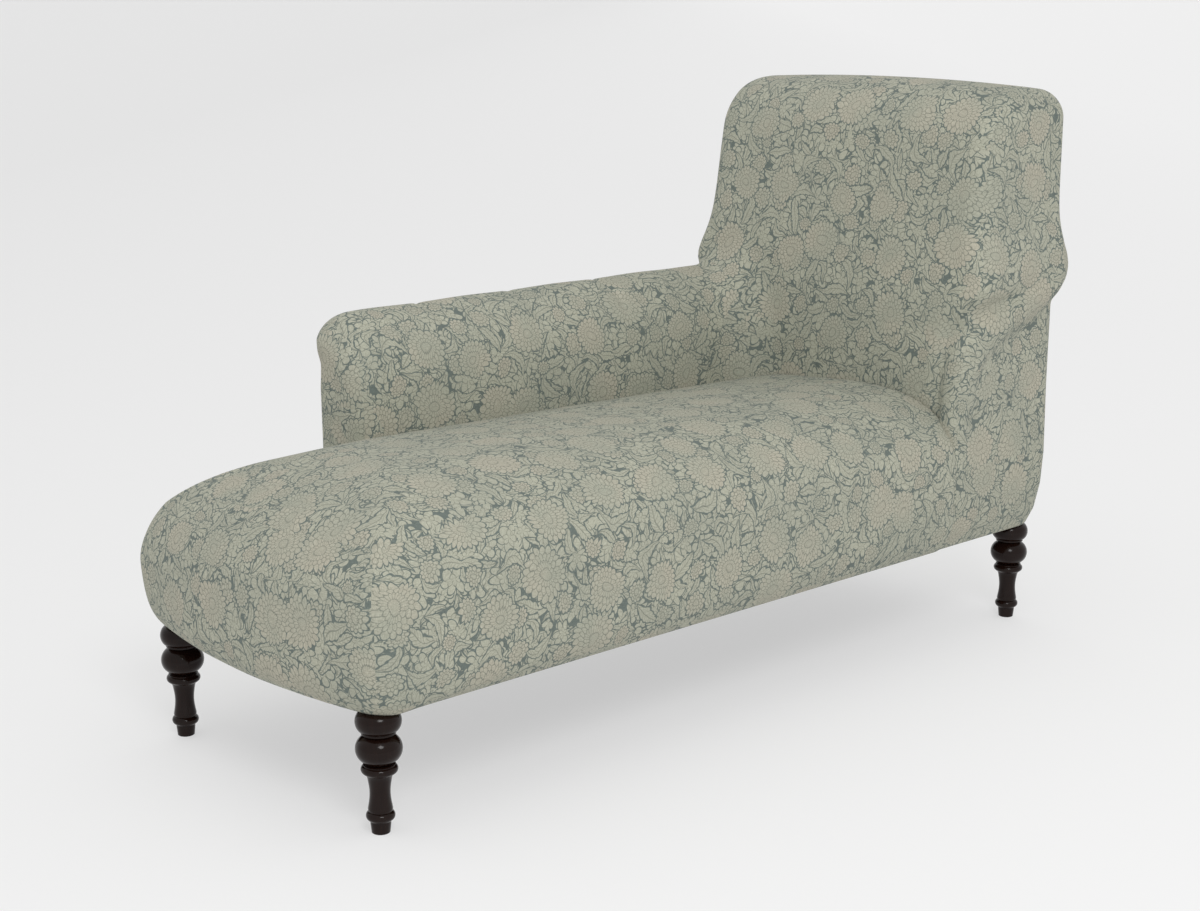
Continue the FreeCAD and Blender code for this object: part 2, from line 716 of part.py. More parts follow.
def wall_form(inset, front, end_radius, top_radius, inner):
    """A rolled wall from its front end to the head end, as if it stood on the far side."""
    margin = s.tool_overrun
    section = stepped(inset_wire(wall_section(inner), inset), CORNER_STEPS)
    section.translate(Vector(front - margin, 0, 0))
    body = extruded(section, Vector(head_face - front + 2 * margin, 0, 0))
    nose = min(end_radius, s.wall_crest_offset - inner)
    plan = rounded_rectangle((front + inset, inner + inset),
                             (head_face - inset, s.overall_half_width - inset),
                             (nose - inset, 0, s.rear_corner_radius - inset, end_radius - inset))
    tall = extruded(stepped(plan, CORNER_STEPS), Vector(0, 0, s.overall_height))
    side_view = rounded_rectangle((front + inset, base_z - margin),
                                  (head_face + margin, s.wall_crest_height + s.cover_margin),
                                  (0, 0, 0, top_radius - inset))
    side_body = extruded(upright(stepped(side_view, CORNER_STEPS)), Vector(0, s.overall_half_width * 2, 0))
    return body.common(tall).common(side_body)


def on_near_side(shape):
    return shape.mirror(Vector(0, 0, 0), Vector(0, 1, 0))


def join_cut(shape, side_inner, gap=0):
    """Take away what lies above the join with the high back, behind its front face."""
    roof = Part.makeBox(s.overall_length, s.overall_half_width, s.overall_height,
                        Vector(back_front_x - s.soft_clearance + gap, side_inner - s.overall_half_width / 2,
                               s.wall_join_height + gap))
    return shape.cut(roof)


def wall_frame_space(gap, front_post_x, inner_y):
    """Hollow round a wall's posts and rails."""
    return Part.makeBox(head_frame_face + gap - front_post_x, side_face + gap - inner_y,
                        s.wall_frame_top + gap - base_z,
                        Vector(front_post_x - gap, inner_y, base_z - gap))


def back_frame_space(gap):
    """Hollow round the posts, rails, webbing and hessian of the high back."""
    front = post_front - s.webbing_thickness - s.hessian_thickness - gap
    return Part.makeBox(head_frame_face + gap - front, 2 * (side_face + gap), post_top + gap - base_z,
                        Vector(front, -side_face - gap, base_z))


def make_wall(name, mirror, front, end_radius, top_radius, inner, post_x, outside_from):
    """Stuffing, inside cover and outside cover of one wall."""
    gap = s.soft_clearance
    thickness = s.cover_thickness

    def form(inset):
        return join_cut(wall_form(inset, front, end_radius, top_radius, inner), inner)

    outer = form(0)
    lining = form(thickness)
    core = form(thickness + gap)
    deck = Part.makeBox(head_frame_face + gap - foot_tip, side_face + gap - inner + s.tool_overrun,
                        frame_top + gap, Vector(foot_tip, inner - s.tool_overrun, 0))
    frame_inner = side_face - s.rail_thickness - s.hessian_thickness - gap
    stuffing = core.cut(deck).cut(wall_frame_space(gap, post_x, frame_inner)).cut(back_frame_space(gap))
    shell = outer.cut(lining).cut(deck).cut(back_frame_space(gap))
    panel = Part.makeBox(head_face - outside_from - s.rear_corner_radius / 2, s.overall_half_width,
                         s.wall_crease_height - base_z + gap,
                         Vector(outside_from, side_face, base_z - gap))
    panel_gap = Part.makeBox(panel.BoundBox.XLength + 2 * gap, s.overall_half_width,
                             panel.BoundBox.ZLength + gap,
                             Vector(outside_from - gap, side_face, base_z - gap))
    shapes = {"_stuffing": stuffing, "_inside_cover": shell.cut(panel_gap), "_outside_cover": shell.common(panel)}
    for ending, shape in shapes.items():
        shape = on_near_side(shape) if mirror else shape
        solid_feature(name + ending, shape.removeSplitter())


def wall_board(label, low, size, mirror):
    """A board of a wall's frame, given as if on the far side."""
    board = Part.makeBox(size[0], size[1], size[2], Vector(low[0], low[1], low[2]))
    solid_feature(label, on_near_side(board) if mirror else board)


def wall_frame(name, mirror, first_post_x):
    """Front post, top rail, tacking rail and hessian of one wall."""
    thick = s.rail_thickness
    low_y = side_face - thick
    post_height = s.wall_frame_top - frame_top
    wall_board(name + "_front_post", (first_post_x, low_y, frame_top),
               (s.wall_post_depth, thick, post_height), mirror)
    rail_start = first_post_x + s.wall_post_depth
    rail_length = post_front - rail_start
    wall_board(name + "_top_rail", (rail_start, low_y, s.wall_frame_top - s.wall_rail_height),
               (rail_length, thick, s.wall_rail_height), mirror)
    wall_board(name + "_tacking_rail", (rail_start, low_y, s.tack_rail_bottom),
               (rail_length, thick, s.tack_rail_height), mirror)
    wall_board(name + "_hessian", (first_post_x, low_y - s.hessian_thickness, frame_top),
               (post_front - first_post_x, s.hessian_thickness, post_height), mirror)


# High back: level outlines stacked from the arms' height to the top
def back_level(height, rolled_in, inset):
    """Front, rear and half width of the high back's outline at one level."""
    front = back_front_x + s.back_lean * max(0, height - s.back_lean_start) + rolled_in
    flare = s.back_flare * math.exp(-((height - s.back_flare_height) / s.back_flare_reach) ** 2)
    side_roll = rolled_in * s.back_corner_radius / s.back_top_radius
    return front + inset, head_face - rolled_in - inset, s.back_half_width + flare - side_roll - inset


def upper_back(inset, plain):
    """The high back above the walls; the plain one is cut foam."""
    roll = s.back_top_radius
    join = s.wall_join_height + s.soft_clearance
    flare, reach = s.back_flare_height, s.back_flare_reach
    levels = [(join, 0), (flare, 0), (flare + reach / 2, 0), (flare + reach, 0), (flare + 2 * reach, 0)]
    for angle in (0, 36, 72) if plain else (0, 18, 36, 54, 72):
        turn = math.radians(angle)
        levels.append((s.overall_height - roll * (1 - math.sin(turn)), roll * (1 - math.cos(turn))))
    levels[-1] = (s.overall_height, levels[-1][1])
    wires = []
    for height, rolled_in in levels:
        front, rear, half = back_level(height, rolled_in, inset)
        depth = (rear - front) / 2
        front_radius = min(s.back_front_edge_radius, 0.55 * depth) - inset
        rear_radius = min(s.rear_corner_radius, 0.8 * depth) - inset
        level = rounded_rectangle((front, -half), (rear, half),
                                  (front_radius, rear_radius, rear_radius, front_radius))
        level.translate(Vector(0, 0, height - inset * min(1, rolled_in / (0.6 * roll))))
        wires.append(stepped(level, 1 if plain else CORNER_STEPS))
    return Part.makeLoft(wires, True, True)


def walls_space(gap):
    """The low back and the arm, grown by a clearance."""
    far = wall_form(-gap, low_back_front_x, s.low_back_end_radius, s.low_back_top_radius, s.wall_inner)
    near = wall_form(-gap, arm_front_x, s.arm_end_radius, s.arm_top_radius, s.arm_inner)
    return on_near_side(join_cut(near, s.arm_inner, gap)).fuse(join_cut(far, s.wall_inner, gap))


def high_back_form(inset, plain=False):
    """The high back above the walls, and between them down to the frame and behind it."""
    gap = s.soft_clearance
    fill = base_half_width - 4 * s.cover_margin
    join = s.wall_join_height + s.back_flare / 2
    front = back_front_x + inset
    rear = head_face - inset
    outline = [Vector(front, 0, frame_top + gap), Vector(front, 0, s.back_lean_start),
               Vector(back_level(join, 0, inset)[0], 0, join), Vector(rear, 0, join), Vector(rear, 0, base_z),
               Vector(head_frame_face + gap, 0, base_z), Vector(head_frame_face + gap, 0, frame_top + gap)]
    lower = extruded(Part.makePolygon(outline + outline[:1]), Vector(0, 2 * fill, 0))
    lower.translate(Vector(0, -fill, 0))
    return upper_back(inset, plain).fuse(lower.cut(walls_space(gap)))


def high_back():
    gap = s.soft_clearance
    thickness = s.cover_thickness
    outer = high_back_form(0)
    lining = high_back_form(thickness)
    core = high_back_form(thickness + gap, plain=True)
    solid_feature("high_back_stuffing", core.cut(back_frame_space(gap)).removeSplitter())
    seam_x = head_face - s.rear_corner_radius / 2
    tall = s.overall_height * 2
    behind = Part.makeBox(tall, tall, tall, Vector(seam_x, -tall / 2, -tall / 2))
    ahead = Part.makeBox(tall, tall, tall, Vector(seam_x - gap - tall, -tall / 2, -tall / 2))
    shell = outer.cut(lining)
    solid_feature("inside_back_cover", shell.common(ahead).removeSplitter())
    solid_feature("outside_back_cover", shell.common(behind).removeSplitter())


def back_frame():
    """Two posts from the seat frame up, three rails between them, webbing and hessian on the front."""
    between = "2 * (%s - post_width)" % SIDE_FACE
    front = "(%s + leg_to_head_face - post_depth)" % LEG_HEAD_X
    for side_name, low_y in (("near", "-" + SIDE_FACE), ("far", SIDE_FACE + " - post_width")):
        post = block(side_name + "_back_post", (front, low_y, FRAME_TOP),
                     ("post_depth", "post_width", POST_TOP + " - " + FRAME_TOP))
        keep(post, side_name + "_back_post")
    rails = {"back_crest_rail": (POST_TOP + " - crest_rail_height", "crest_rail_height"),
             "back_middle_rail": ("middle_rail_bottom", "middle_rail_height"),
             "back_tacking_rail": ("tack_rail_bottom", "tack_rail_height")}
    for name, (low_z, height) in rails.items():
        rail = block(name, (front, "-(%s - post_width)" % SIDE_FACE, low_z),
                     ("board_thickness", between, height))
        keep(rail, name)
    back_webbing()


def back_webbing():
    thickness = s.webbing_thickness
    half = side_face - s.post_width
    count = int(round(s.back_strip_count))
    pitch = 2 * half / count
    uprights = []
    for number in range(count):
        low_y = -half + (number + 0.5) * pitch - s.webbing_width / 2
        uprights.append(Part.makeBox(thickness, s.webbing_width, post_top - s.tack_rail_bottom,
                                     Vector(post_front - thickness, low_y, s.tack_rail_bottom)))
    solid_feature("back_webbing", Part.Compound(uprights))
    between_walls = half - s.hessian_thickness - s.soft_clearance
    hessian = Part.makeBox(s.hessian_thickness, 2 * between_walls, post_top - s.tack_rail_bottom,
                           Vector(post_front - thickness - s.hessian_thickness, -between_walls,
                                  s.tack_rail_bottom))
    solid_feature("back_hessian", hessian)


turned_legs()
for end_name, end in (("foot", -1), ("head", 1)):
    for side_name, side in (("near", -1), ("far", 1)):
        leg_block(side_name, side, end_name, end)
long_rail("near", -1)
long_rail("far", 1)
head_end_rail()
bowed_foot_rail()
for bays, name in enumerate(("first", "second", "back"), start=1):
    cross_rail(name + "_cross_rail_board", bays)
seat_webbing()
seat_springs()
spring_canvas()
dust_cover()
seat_stuffing_and_cover()
make_wall("low_back", False, low_back_front_x, s.low_back_end_radius, s.low_back_top_radius, s.wall_inner,
          low_back_front_x + s.low_back_post_inset, low_back_front_x + 2 * s.low_back_end_radius)
make_wall("arm", True, arm_front_x, s.arm_end_radius, s.arm_top_radius, s.arm_inner,
          arm_front_x + s.arm_post_inset, arm_front_x + 1.4 * s.arm_top_radius)
wall_frame("low_back", False, low_back_front_x + s.low_back_post_inset)
wall_frame("arm", True, arm_front_x + s.arm_post_inset)
high_back()
back_frame()

# Every feature has to be sound before anything is written
doc.recompute()
for feature in doc.Objects:
    if "Invalid" in feature.State or "Error" in feature.State:
        raise RuntimeError(feature.Name + " failed: " + str(feature.State))
for part in parts:
    if part.Shape.isNull() or not part.Shape.isValid() or not part.Shape.Solids:
        raise RuntimeError(part.Label + " has no sound shape")

os.makedirs("parts", exist_ok=True)
for part in parts:
    part.Shape.exportStep("parts/%s.step" % part.Label)
    print("%-28s %2d solid(s) %12.0f mm3" % (part.Label, len(part.Shape.Solids), part.Shape.Volume))
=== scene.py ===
import json
import math

import bpy
import numpy as np
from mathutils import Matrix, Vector

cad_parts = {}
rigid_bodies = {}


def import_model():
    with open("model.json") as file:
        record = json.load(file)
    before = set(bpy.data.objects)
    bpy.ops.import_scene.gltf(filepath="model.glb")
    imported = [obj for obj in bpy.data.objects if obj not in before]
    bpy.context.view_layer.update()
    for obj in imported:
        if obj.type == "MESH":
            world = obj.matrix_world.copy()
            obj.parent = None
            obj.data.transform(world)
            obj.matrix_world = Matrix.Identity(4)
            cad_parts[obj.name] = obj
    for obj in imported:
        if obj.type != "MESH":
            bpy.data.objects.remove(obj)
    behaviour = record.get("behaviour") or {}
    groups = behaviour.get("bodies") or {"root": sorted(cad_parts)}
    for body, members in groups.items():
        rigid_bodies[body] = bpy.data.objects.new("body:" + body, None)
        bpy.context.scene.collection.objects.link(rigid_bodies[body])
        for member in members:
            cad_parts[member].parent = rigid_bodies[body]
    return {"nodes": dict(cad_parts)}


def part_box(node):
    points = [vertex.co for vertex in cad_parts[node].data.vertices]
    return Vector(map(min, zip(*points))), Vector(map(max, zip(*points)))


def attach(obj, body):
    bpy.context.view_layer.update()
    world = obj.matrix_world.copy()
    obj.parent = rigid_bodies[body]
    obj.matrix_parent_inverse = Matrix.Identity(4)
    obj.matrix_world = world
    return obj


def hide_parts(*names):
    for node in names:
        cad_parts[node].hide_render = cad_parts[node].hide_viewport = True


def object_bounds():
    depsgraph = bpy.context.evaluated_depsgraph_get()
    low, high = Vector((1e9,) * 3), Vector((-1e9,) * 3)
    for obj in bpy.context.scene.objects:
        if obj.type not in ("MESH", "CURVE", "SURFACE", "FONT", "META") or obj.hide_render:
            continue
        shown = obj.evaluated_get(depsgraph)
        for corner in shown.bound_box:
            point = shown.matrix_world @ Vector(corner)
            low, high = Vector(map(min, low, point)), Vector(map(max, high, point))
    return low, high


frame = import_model()

bl_info = {
    "name": "Upholstered chaise longue",
    "version": (1, 0, 0),
    "blender": (4, 5, 0),
    "location": "3D View > Sidebar > Chaise",
    "description": "Dresses the packed chaise longue: printed linen upholstery, turned legs, stage",
    "category": "Add Mesh",
}

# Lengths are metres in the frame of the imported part: +X to the head end, +Y to the far side.
CAD_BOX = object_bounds()
SEAT_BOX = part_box("seat_cover")
LOW_BACK_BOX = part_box("low_back_inside_cover")
ARM_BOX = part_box("arm_inside_cover")
HIGH_BACK_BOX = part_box("inside_back_cover")
LEG_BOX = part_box("turned_legs")

HEM = SEAT_BOX[0].z
REAR = CAD_BOX[1].x
BACK_FRONT = HIGH_BACK_BOX[0].x
WALL_INNER = LOW_BACK_BOX[0].y
LOW_BACK_FRONT = LOW_BACK_BOX[0].x
ARM_FRONT = ARM_BOX[0].x

SEAT_HALF_WIDTH = 0.3155
CROWN_HEIGHT = 0.44
HEM_RADIUS = 0.004
REAR_RADIUS = 0.038
SEAM_RADIUS = 0.003
UNDER_ROLL_RADIUS = 0.014
# How far the high back's top is lower at its ends, and where that is measured
CREST_ARCH, ARCH_HALF_WIDTH = 0.009, 0.3
WING_INNER = 0.270
# Side views run on behind the rear, which is cut and rounded once for all of them
BEYOND = 0.2
# How the outside is drawn in towards the hem: y and z, from the hem up
DRAWN_IN = ((0.2785, HEM), (0.298, 0.213), (0.3095, 0.262), (0.3135, 0.32))
# Middle line of the arm's scroll, from its front edge to the rear: x, -y, z and radius
ROLL_PATH = ((0.514, 0.293, 0.40, 0.020), (0.523, 0.292, 0.48, 0.023), (0.545, 0.290, 0.528, 0.031),
             (0.585, 0.289, 0.565, 0.040), (0.640, 0.290, 0.595, 0.046), (0.700, 0.293, 0.625, 0.0485),
             (0.790, 0.293, 0.668, 0.0485))

FULL_TURN, QUARTER_TURN = 6.283, 1.571
PRINT_EDGE = 0.0008
PRINT_GAP = 0.0023
NOTCH_LENGTH, VEIN_SPACING = 0.011, 0.0055
LEG_TO_EDGE = 0.033

CAMERA_PLACE = (-2.2516, -2.3860, 1.1595)
CAMERA_TILT, CAMERA_TURN = 76.645, -42.751
CAMERA_LENS, CAMERA_SENSOR = 60.945, 36
STUDIO_AIM = Vector((0.1, 0, 0.4))
# Name, place, size and power of each soft lamp
LAMPS = (("key", (-1.9, -3.0, 3.2), 1.6, 62.0), ("top", (-0.6, -0.6, 4.0), 3.0, 6.0))
WORLD_LIGHT = 0.78


class ChaiseSizes(bpy.types.PropertyGroup):
    """Sizes of the upholstery and of its print."""

    mesh_step: bpy.props.FloatProperty(
        name="Mesh step", description="Width of one face of the upholstery", default=0.006,
        min=0.003, max=0.02, unit="LENGTH")
    seat_shoulder: bpy.props.FloatProperty(
        name="Seat shoulder", description="Height of the seat's rounded edge over its widest line",
        default=0.157, unit="LENGTH")
    seat_swell: bpy.props.FloatProperty(
        name="Seat swell", description="How far the seat stands out over its lower edge",
        default=0.0355, unit="LENGTH")
    swell_height: bpy.props.FloatProperty(
        name="Swell height", description="Height of the seat's widest line", default=0.300,
        unit="LENGTH")
    foot_bow: bpy.props.FloatProperty(
        name="Foot bow", description="Radius of the bowed foot end in plan", default=1.5,
        unit="LENGTH")
    seat_corner: bpy.props.FloatProperty(
        name="Seat corner", description="Radius of the foot corners in plan", default=0.046,
        unit="LENGTH")
    tub_corner: bpy.props.FloatProperty(
        name="Inside corner", description="Radius of the hollow between the back and its walls",
        default=0.085, unit="LENGTH")
    pleat_spacing: bpy.props.FloatProperty(
        name="Pleat spacing", description="Distance between the pleats over the low back's rim",
        default=0.2, unit="LENGTH")
    pleat_depth: bpy.props.FloatProperty(
        name="Pleat depth", description="How deep a pleat is drawn in", default=0.0045, unit="LENGTH")
    blossom: bpy.props.FloatProperty(
        name="Blossom", description="Radius of the print's largest flower heads", default=0.038,
        unit="LENGTH")


class ChaiseColours(bpy.types.PropertyGroup):
    """Colours of the fabric, the wood and the stage."""

    ground: bpy.props.FloatVectorProperty(
        name="Ground", description="Fabric between the printed flowers", subtype="COLOR",
        default=(0.140, 0.166, 0.150), min=0, max=1)
    print_colour: bpy.props.FloatVectorProperty(
        name="Print", description="Printed flowers and leaves", subtype="COLOR",
        default=(0.415, 0.418, 0.335), min=0, max=1)
    petal: bpy.props.FloatVectorProperty(
        name="Petals", description="Warmer tint of the flower heads", subtype="COLOR",
        default=(0.430, 0.405, 0.325), min=0, max=1)
    outline: bpy.props.FloatVectorProperty(
        name="Outline", description="Fine lines inside the flowers", subtype="COLOR",
        default=(0.195, 0.205, 0.170), min=0, max=1)
    leg: bpy.props.FloatVectorProperty(
        name="Leg", description="Polished wood of the legs", subtype="COLOR",
        default=(0.0085, 0.0036, 0.0024), min=0, max=1)
    floor: bpy.props.FloatVectorProperty(
        name="Floor", description="Glow of the pale studio floor", subtype="COLOR",
        default=(0.50, 0.50, 0.50), min=0, max=1)


def sizes():
    return bpy.context.scene.chaise_sizes


def colours():
    return bpy.context.scene.chaise_colours


# Shader maths

class Value:
    """A shader socket that takes part in sums, so that a mask reads like a formula."""

    def __init__(self, finish, socket):
        self.finish = finish
        self.socket = socket

    def sibling(self, name):
        return Value(self.finish, self.socket.node.outputs[name])

    def math(self, operation, *others):
        return self.finish.node("ShaderNodeMath", {"operation": operation}, (self, *others))

    def __add__(self, other):
        return self.math("ADD", other)

    __radd__ = __add__

    def __sub__(self, other):
        return self.math("SUBTRACT", other)

    def __rsub__(self, other):
        return self.finish.node("ShaderNodeMath", {"operation": "SUBTRACT"}, (other, self))

    def __mul__(self, other):
        return self.math("MULTIPLY", other)

    __rmul__ = __mul__

    def __truediv__(self, other):
        return self.math("DIVIDE", other)

    def __pow__(self, other):
        return self.math("POWER", other)

    def __abs__(self):
        return self.math("ABSOLUTE")

    def cos(self):
        return self.math("COSINE")

    def sin(self):
        return self.math("SINE")

    def least(self, other):
        return self.math("MINIMUM", other)

    def most(self, other):
        return self.math("MAXIMUM", other)

    def step(self, softness):
        """0 below zero and 1 above the softness."""
        return self.finish.node("ShaderNodeMath", {"operation": "DIVIDE", "use_clamp": True},
                                (self, softness))


class Finish:
    """One material, built from named masks."""

    def __init__(self, name):
        self.material = bpy.data.materials.new(name)
        self.material.use_nodes = True
        self.tree = self.material.node_tree
        self.surface = self.tree.nodes["Principled BSDF"]

    def node(self, kind, settings=None, values=(), out=0):
        node = self.tree.nodes.new(kind)
        for key, setting in (settings or {}).items():
            setattr(node, key, setting)
        pairs = values.items() if isinstance(values, dict) else enumerate(values)
        for key, value in pairs:
            if isinstance(value, Value):
                self.tree.links.new(value.socket, node.inputs[key])
            else:
                node.inputs[key].default_value = value
        return Value(self, node.outputs[out])

    def colour_mix(self, share, first, second):
        return self.node("ShaderNodeMix", {"data_type": "RGBA"}, {0: share, 6: first, 7: second}, 2)

    def split(self, vector):
        parts = self.node("ShaderNodeSeparateXYZ", None, (vector,))
        return parts, parts.sibling("Y"), parts.sibling("Z")

    def point(self, x, y, z=0.0):
        return self.node("ShaderNodeCombineXYZ", None, (x, y, z))

    def noise(self, where, scale, detail=2.0, roughness=0.5, distortion=0.0, plane=False):
        return self.node("ShaderNodeTexNoise", {"noise_dimensions": "2D" if plane else "3D"},
                         {"Vector": where, "Scale": scale, "Detail": detail, "Roughness": roughness,
                          "Distortion": distortion})

    def feed(self, **inputs):
        """Give the surface its inputs: a value is set, a socket is linked."""
        for key, value in inputs.items():
            socket = self.surface.inputs[key.replace("_", " ")]
            if isinstance(value, Value):
                self.tree.links.new(value.socket, socket)
            else:
                socket.default_value = value

    def bump(self, height, distance, strength=1.0):
        normal = self.node("ShaderNodeBump", None, {"Height": height, "Distance": distance,
                                                    "Strength": strength})
        self.tree.links.new(normal.socket, self.surface.inputs["Normal"])


def rgba(colour, gain=1.0):
    return (*[channel * gain for channel in colour], 1.0)


def random_cell(finish, u, v, size, scatter):
    """Offsets from the middle of a scattered cell, and three random numbers of that cell."""
    cell = finish.node("ShaderNodeTexVoronoi", {"voronoi_dimensions": "2D"},
                       {"Vector": finish.point(u, v), "Scale": 1.0 / size, "Randomness": scatter})
    middle_u, middle_v, _ = finish.split(cell.sibling("Position"))
    first, second, third = finish.split(cell.sibling("Color"))
    return u - middle_u, v - middle_v, first, second, third


def varied(chance):
    """From 0.8 to 1.1 of the full size, by a random number."""
    return chance * 0.3 + 0.8


def blossom(finish, u, v, spacing, radius, petals, depth, rings):
    """Scattered round motifs: how far a point lies inside one, and the fine lines between petals."""
    across, up, turn, size, _ = random_cell(finish, u, v, spacing, 0.6)
    far = (across * across + up * up) ** 0.5
    angle = up.math("ARCTAN2", across) + turn * FULL_TURN
    reach = varied(size) * radius
    inside = lines = None
    for ring in range(rings):
        wave = abs((angle * (petals / 2) + ring * QUARTER_TURN).cos())
        rim = (wave * depth + (1 - depth)) * reach * (1 - ring / rings)
        within = (rim - far).step(0.0006)
        edge = 1 - (abs(far - rim) - 0.0005).step(0.0007)
        spoke = (0.34 - wave).step(0.20) * within
        if ring == 0:
            inside = rim - far
            lines = spoke
        else:
            lines = (lines * (1 - within)).most(edge).most(spoke)
    return inside, lines


def leaf(finish, u, v, spacing, length, width):
    """Scattered notched leaves that bend: how far a point lies inside one, and its veins."""
    across, up, turn, size, bend = random_cell(finish, u, v, spacing, 0.7)
    angle = turn * FULL_TURN
    along = across * angle.cos() + up * angle.sin()
    curl = (bend - 0.5) * (2.4 / length)
    beside = up * angle.cos() - across * angle.sin() - along * along * curl
    share = along / (varied(size) * length)
    away = abs(beside)
    notch = abs(((along + away) * (math.pi / NOTCH_LENGTH)).sin()) * 0.22 + 0.78
    inside = (1 - share * share) * width * notch - away
    rib = 1 - (away - 0.0004).step(0.0006)
    vein = 1 - (abs(((along + away) * (math.pi / VEIN_SPACING)).sin()) - 0.15).step(0.3)
    return inside, rib.most(vein * 0.7)


def fabric():
    """Printed linen: cream flowers and leaves, packed close, on a grey-green ground."""
    if "printed_linen" in bpy.data.materials:
        return bpy.data.materials["printed_linen"]
    finish = Finish("printed_linen")
    colour = colours()
    radius = sizes().blossom
    where = finish.node("ShaderNodeUVMap", {"uv_map": "cloth"})
    sway = finish.node("ShaderNodeTexNoise", {"noise_dimensions": "2D"},
                       {"Vector": where, "Scale": 24.0, "Detail": 1.0}, 1)
    sway_u, sway_v, _ = finish.split(sway)
    u, v, _ = finish.split(where)
    u = u + (sway_u - 0.5) * 0.020
    v = v + (sway_v - 0.5) * 0.020

    # Motifs from the lowest to the uppermost: each covers those below it and leaves a gap round
    # itself. The last two are the flower heads.
    winding = finish.noise(finish.point(u, v), 17.0, 1.0, plane=True)
    stem = 0.020 - abs(winding - 0.5)
    motif = stem.step(0.008)
    lines = motif * 0.0
    head = lines
    layers = [
        blossom(finish, u + 0.47, v + 0.61, radius * 0.56, radius * 0.32, 4.0, 0.5, 1),
        leaf(finish, u + 0.13, v + 0.29, radius * 0.85, radius * 0.48, radius * 0.17),
        blossom(finish, u + 0.31, v, radius * 1.05, radius * 0.56, 5.0, 0.55, 2),
        blossom(finish, u, v + 0.17, radius * 1.25, radius * 0.60, 6.0, 0.5, 2),
        leaf(finish, u + 0.71, v + 0.53, radius * 1.25, radius * 0.62, radius * 0.20),
        leaf(finish, u, v, radius * 1.7, radius * 0.85, radius * 0.26),
        blossom(finish, u + 0.37, v + 0.11, radius * 1.9, radius * 0.46, 12.0, 0.2, 3),
        blossom(finish, u, v, radius * 3.1, radius, 22.0, 0.14, 4),
    ]
    flower_heads = layers[-2:]
    for layer in layers:
        inside, fine = layer
        cover = (inside + PRINT_GAP).step(0.0007)
        within = inside.step(PRINT_EDGE)
        motif = motif * (1 - cover) + within
        lines = lines * (1 - cover) + fine * within
        if layer in flower_heads:
            head = (head * (1 - cover)).most(within)

    worn = finish.noise(finish.point(u, v), 9.0, 4.0, 0.6, plane=True)
    speckle = finish.noise(finish.point(u, v), 620.0, 2.0, 0.7, plane=True)
    motif = motif * ((worn - 0.30).step(0.30) * 0.18 + 0.82)
    motif = motif - (speckle - 0.56).step(0.2) * 0.26
    motif = motif + (speckle - 0.60).step(0.2) * (1 - motif) * 0.45
    motif = motif.most(0.0).least(1.0)

    warp = finish.noise(finish.point(u * 1500.0, v * 170.0), 1.0, 1.0, plane=True)
    weft = finish.noise(finish.point(u * 170.0, v * 1500.0), 1.0, 1.0, plane=True)
    slub = finish.noise(finish.point(u * 60.0, v * 900.0), 1.0, 1.0, plane=True)
    weave = warp * 0.4 + weft * 0.4 + slub * 0.2

    leaves = rgba(colour.print_colour)
    petals = finish.colour_mix((worn - 0.35).step(0.3), leaves, rgba(colour.petal))
    print_colour = finish.colour_mix(head * 0.85, leaves, petals)
    print_colour = finish.colour_mix(lines * 0.8, print_colour, rgba(colour.outline))
    base = finish.colour_mix(motif, rgba(colour.ground), print_colour)
    shade = (weave - 0.5) * 0.8 + 0.5
    base = finish.node("ShaderNodeMix", {"data_type": "RGBA", "blend_type": "OVERLAY"},
                       {0: 0.8, 6: base, 7: finish.point(shade, shade, shade)}, 2)
    finish.feed(Base_Color=base, Roughness=0.92, Sheen_Weight=0.06, Sheen_Roughness=0.5,
                Specular_IOR_Level=0.15)
    finish.bump(weave + motif * 0.15, 0.0005, 0.7)
    return finish.material


def polished_leg():
    """Near-black stained beech under a clear polish, paler on its sharp edges as a painted highlight.
    """
    finish = Finish("polished_leg")
    where = finish.node("ShaderNodeTexCoord", None, (), "Object")
    x, y, z = finish.split(where)
    grain = finish.noise(finish.point(x * 260.0, y * 260.0, z * 22.0), 1.0, 4.0, 0.6)
    cloud = finish.noise(where, 22.0, 3.0)
    edge = finish.node("ShaderNodeNewGeometry", None, (), "Pointiness")
    # Painted highlight: the sharpest edges, found by pointiness, are made paler
    edge_highlight = (edge - 0.56).step(0.06)
    colour = colours().leg
    wood = finish.colour_mix(grain, rgba(colour, 0.6), rgba(colour, 1.7))
    wood = finish.colour_mix(edge_highlight * 0.6, wood, (0.16, 0.095, 0.065, 1.0))
    finish.feed(Base_Color=wood, Roughness=cloud * 0.06 + 0.13, Specular_IOR_Level=0.20)
    finish.bump(grain, 0.0002, 0.25)
    return finish.material


def timber():
    """Planed beech of the hidden frame."""
    finish = Finish("frame_timber")
    where = finish.node("ShaderNodeTexCoord", None, (), "Object")
    x, y, z = finish.split(where)
    grain = finish.noise(finish.point(x * 6.0, y * 70.0, z * 70.0), 1.0, 5.0, 0.6, 0.6)
    colour = finish.colour_mix(grain, (0.50, 0.33, 0.17, 1.0), (0.70, 0.52, 0.31, 1.0))
    finish.feed(Base_Color=colour, Roughness=grain * 0.2 + 0.55)
    finish.bump(grain, 0.0004, 0.4)
    return finish.material


def woven(name, dark, pale, pitch):
    """Plain weave with visible threads, for webbing, hessian, canvas and dust cloth."""
    finish = Finish(name)
    where = finish.node("ShaderNodeTexCoord", None, (), "Object")
    x, y, z = finish.split(where)
    along = abs(((x + z) * (math.pi / pitch)).sin())
    across = abs((y * (math.pi / pitch)).sin())
    uneven = finish.noise(where, 130.0, 3.0)
    thread = along * across * (uneven * 0.5 + 0.75)
    finish.feed(Base_Color=finish.colour_mix(thread, dark, pale), Roughness=uneven * 0.1 + 0.85)
    finish.bump(thread, 0.0005, 0.6)
    return finish.material


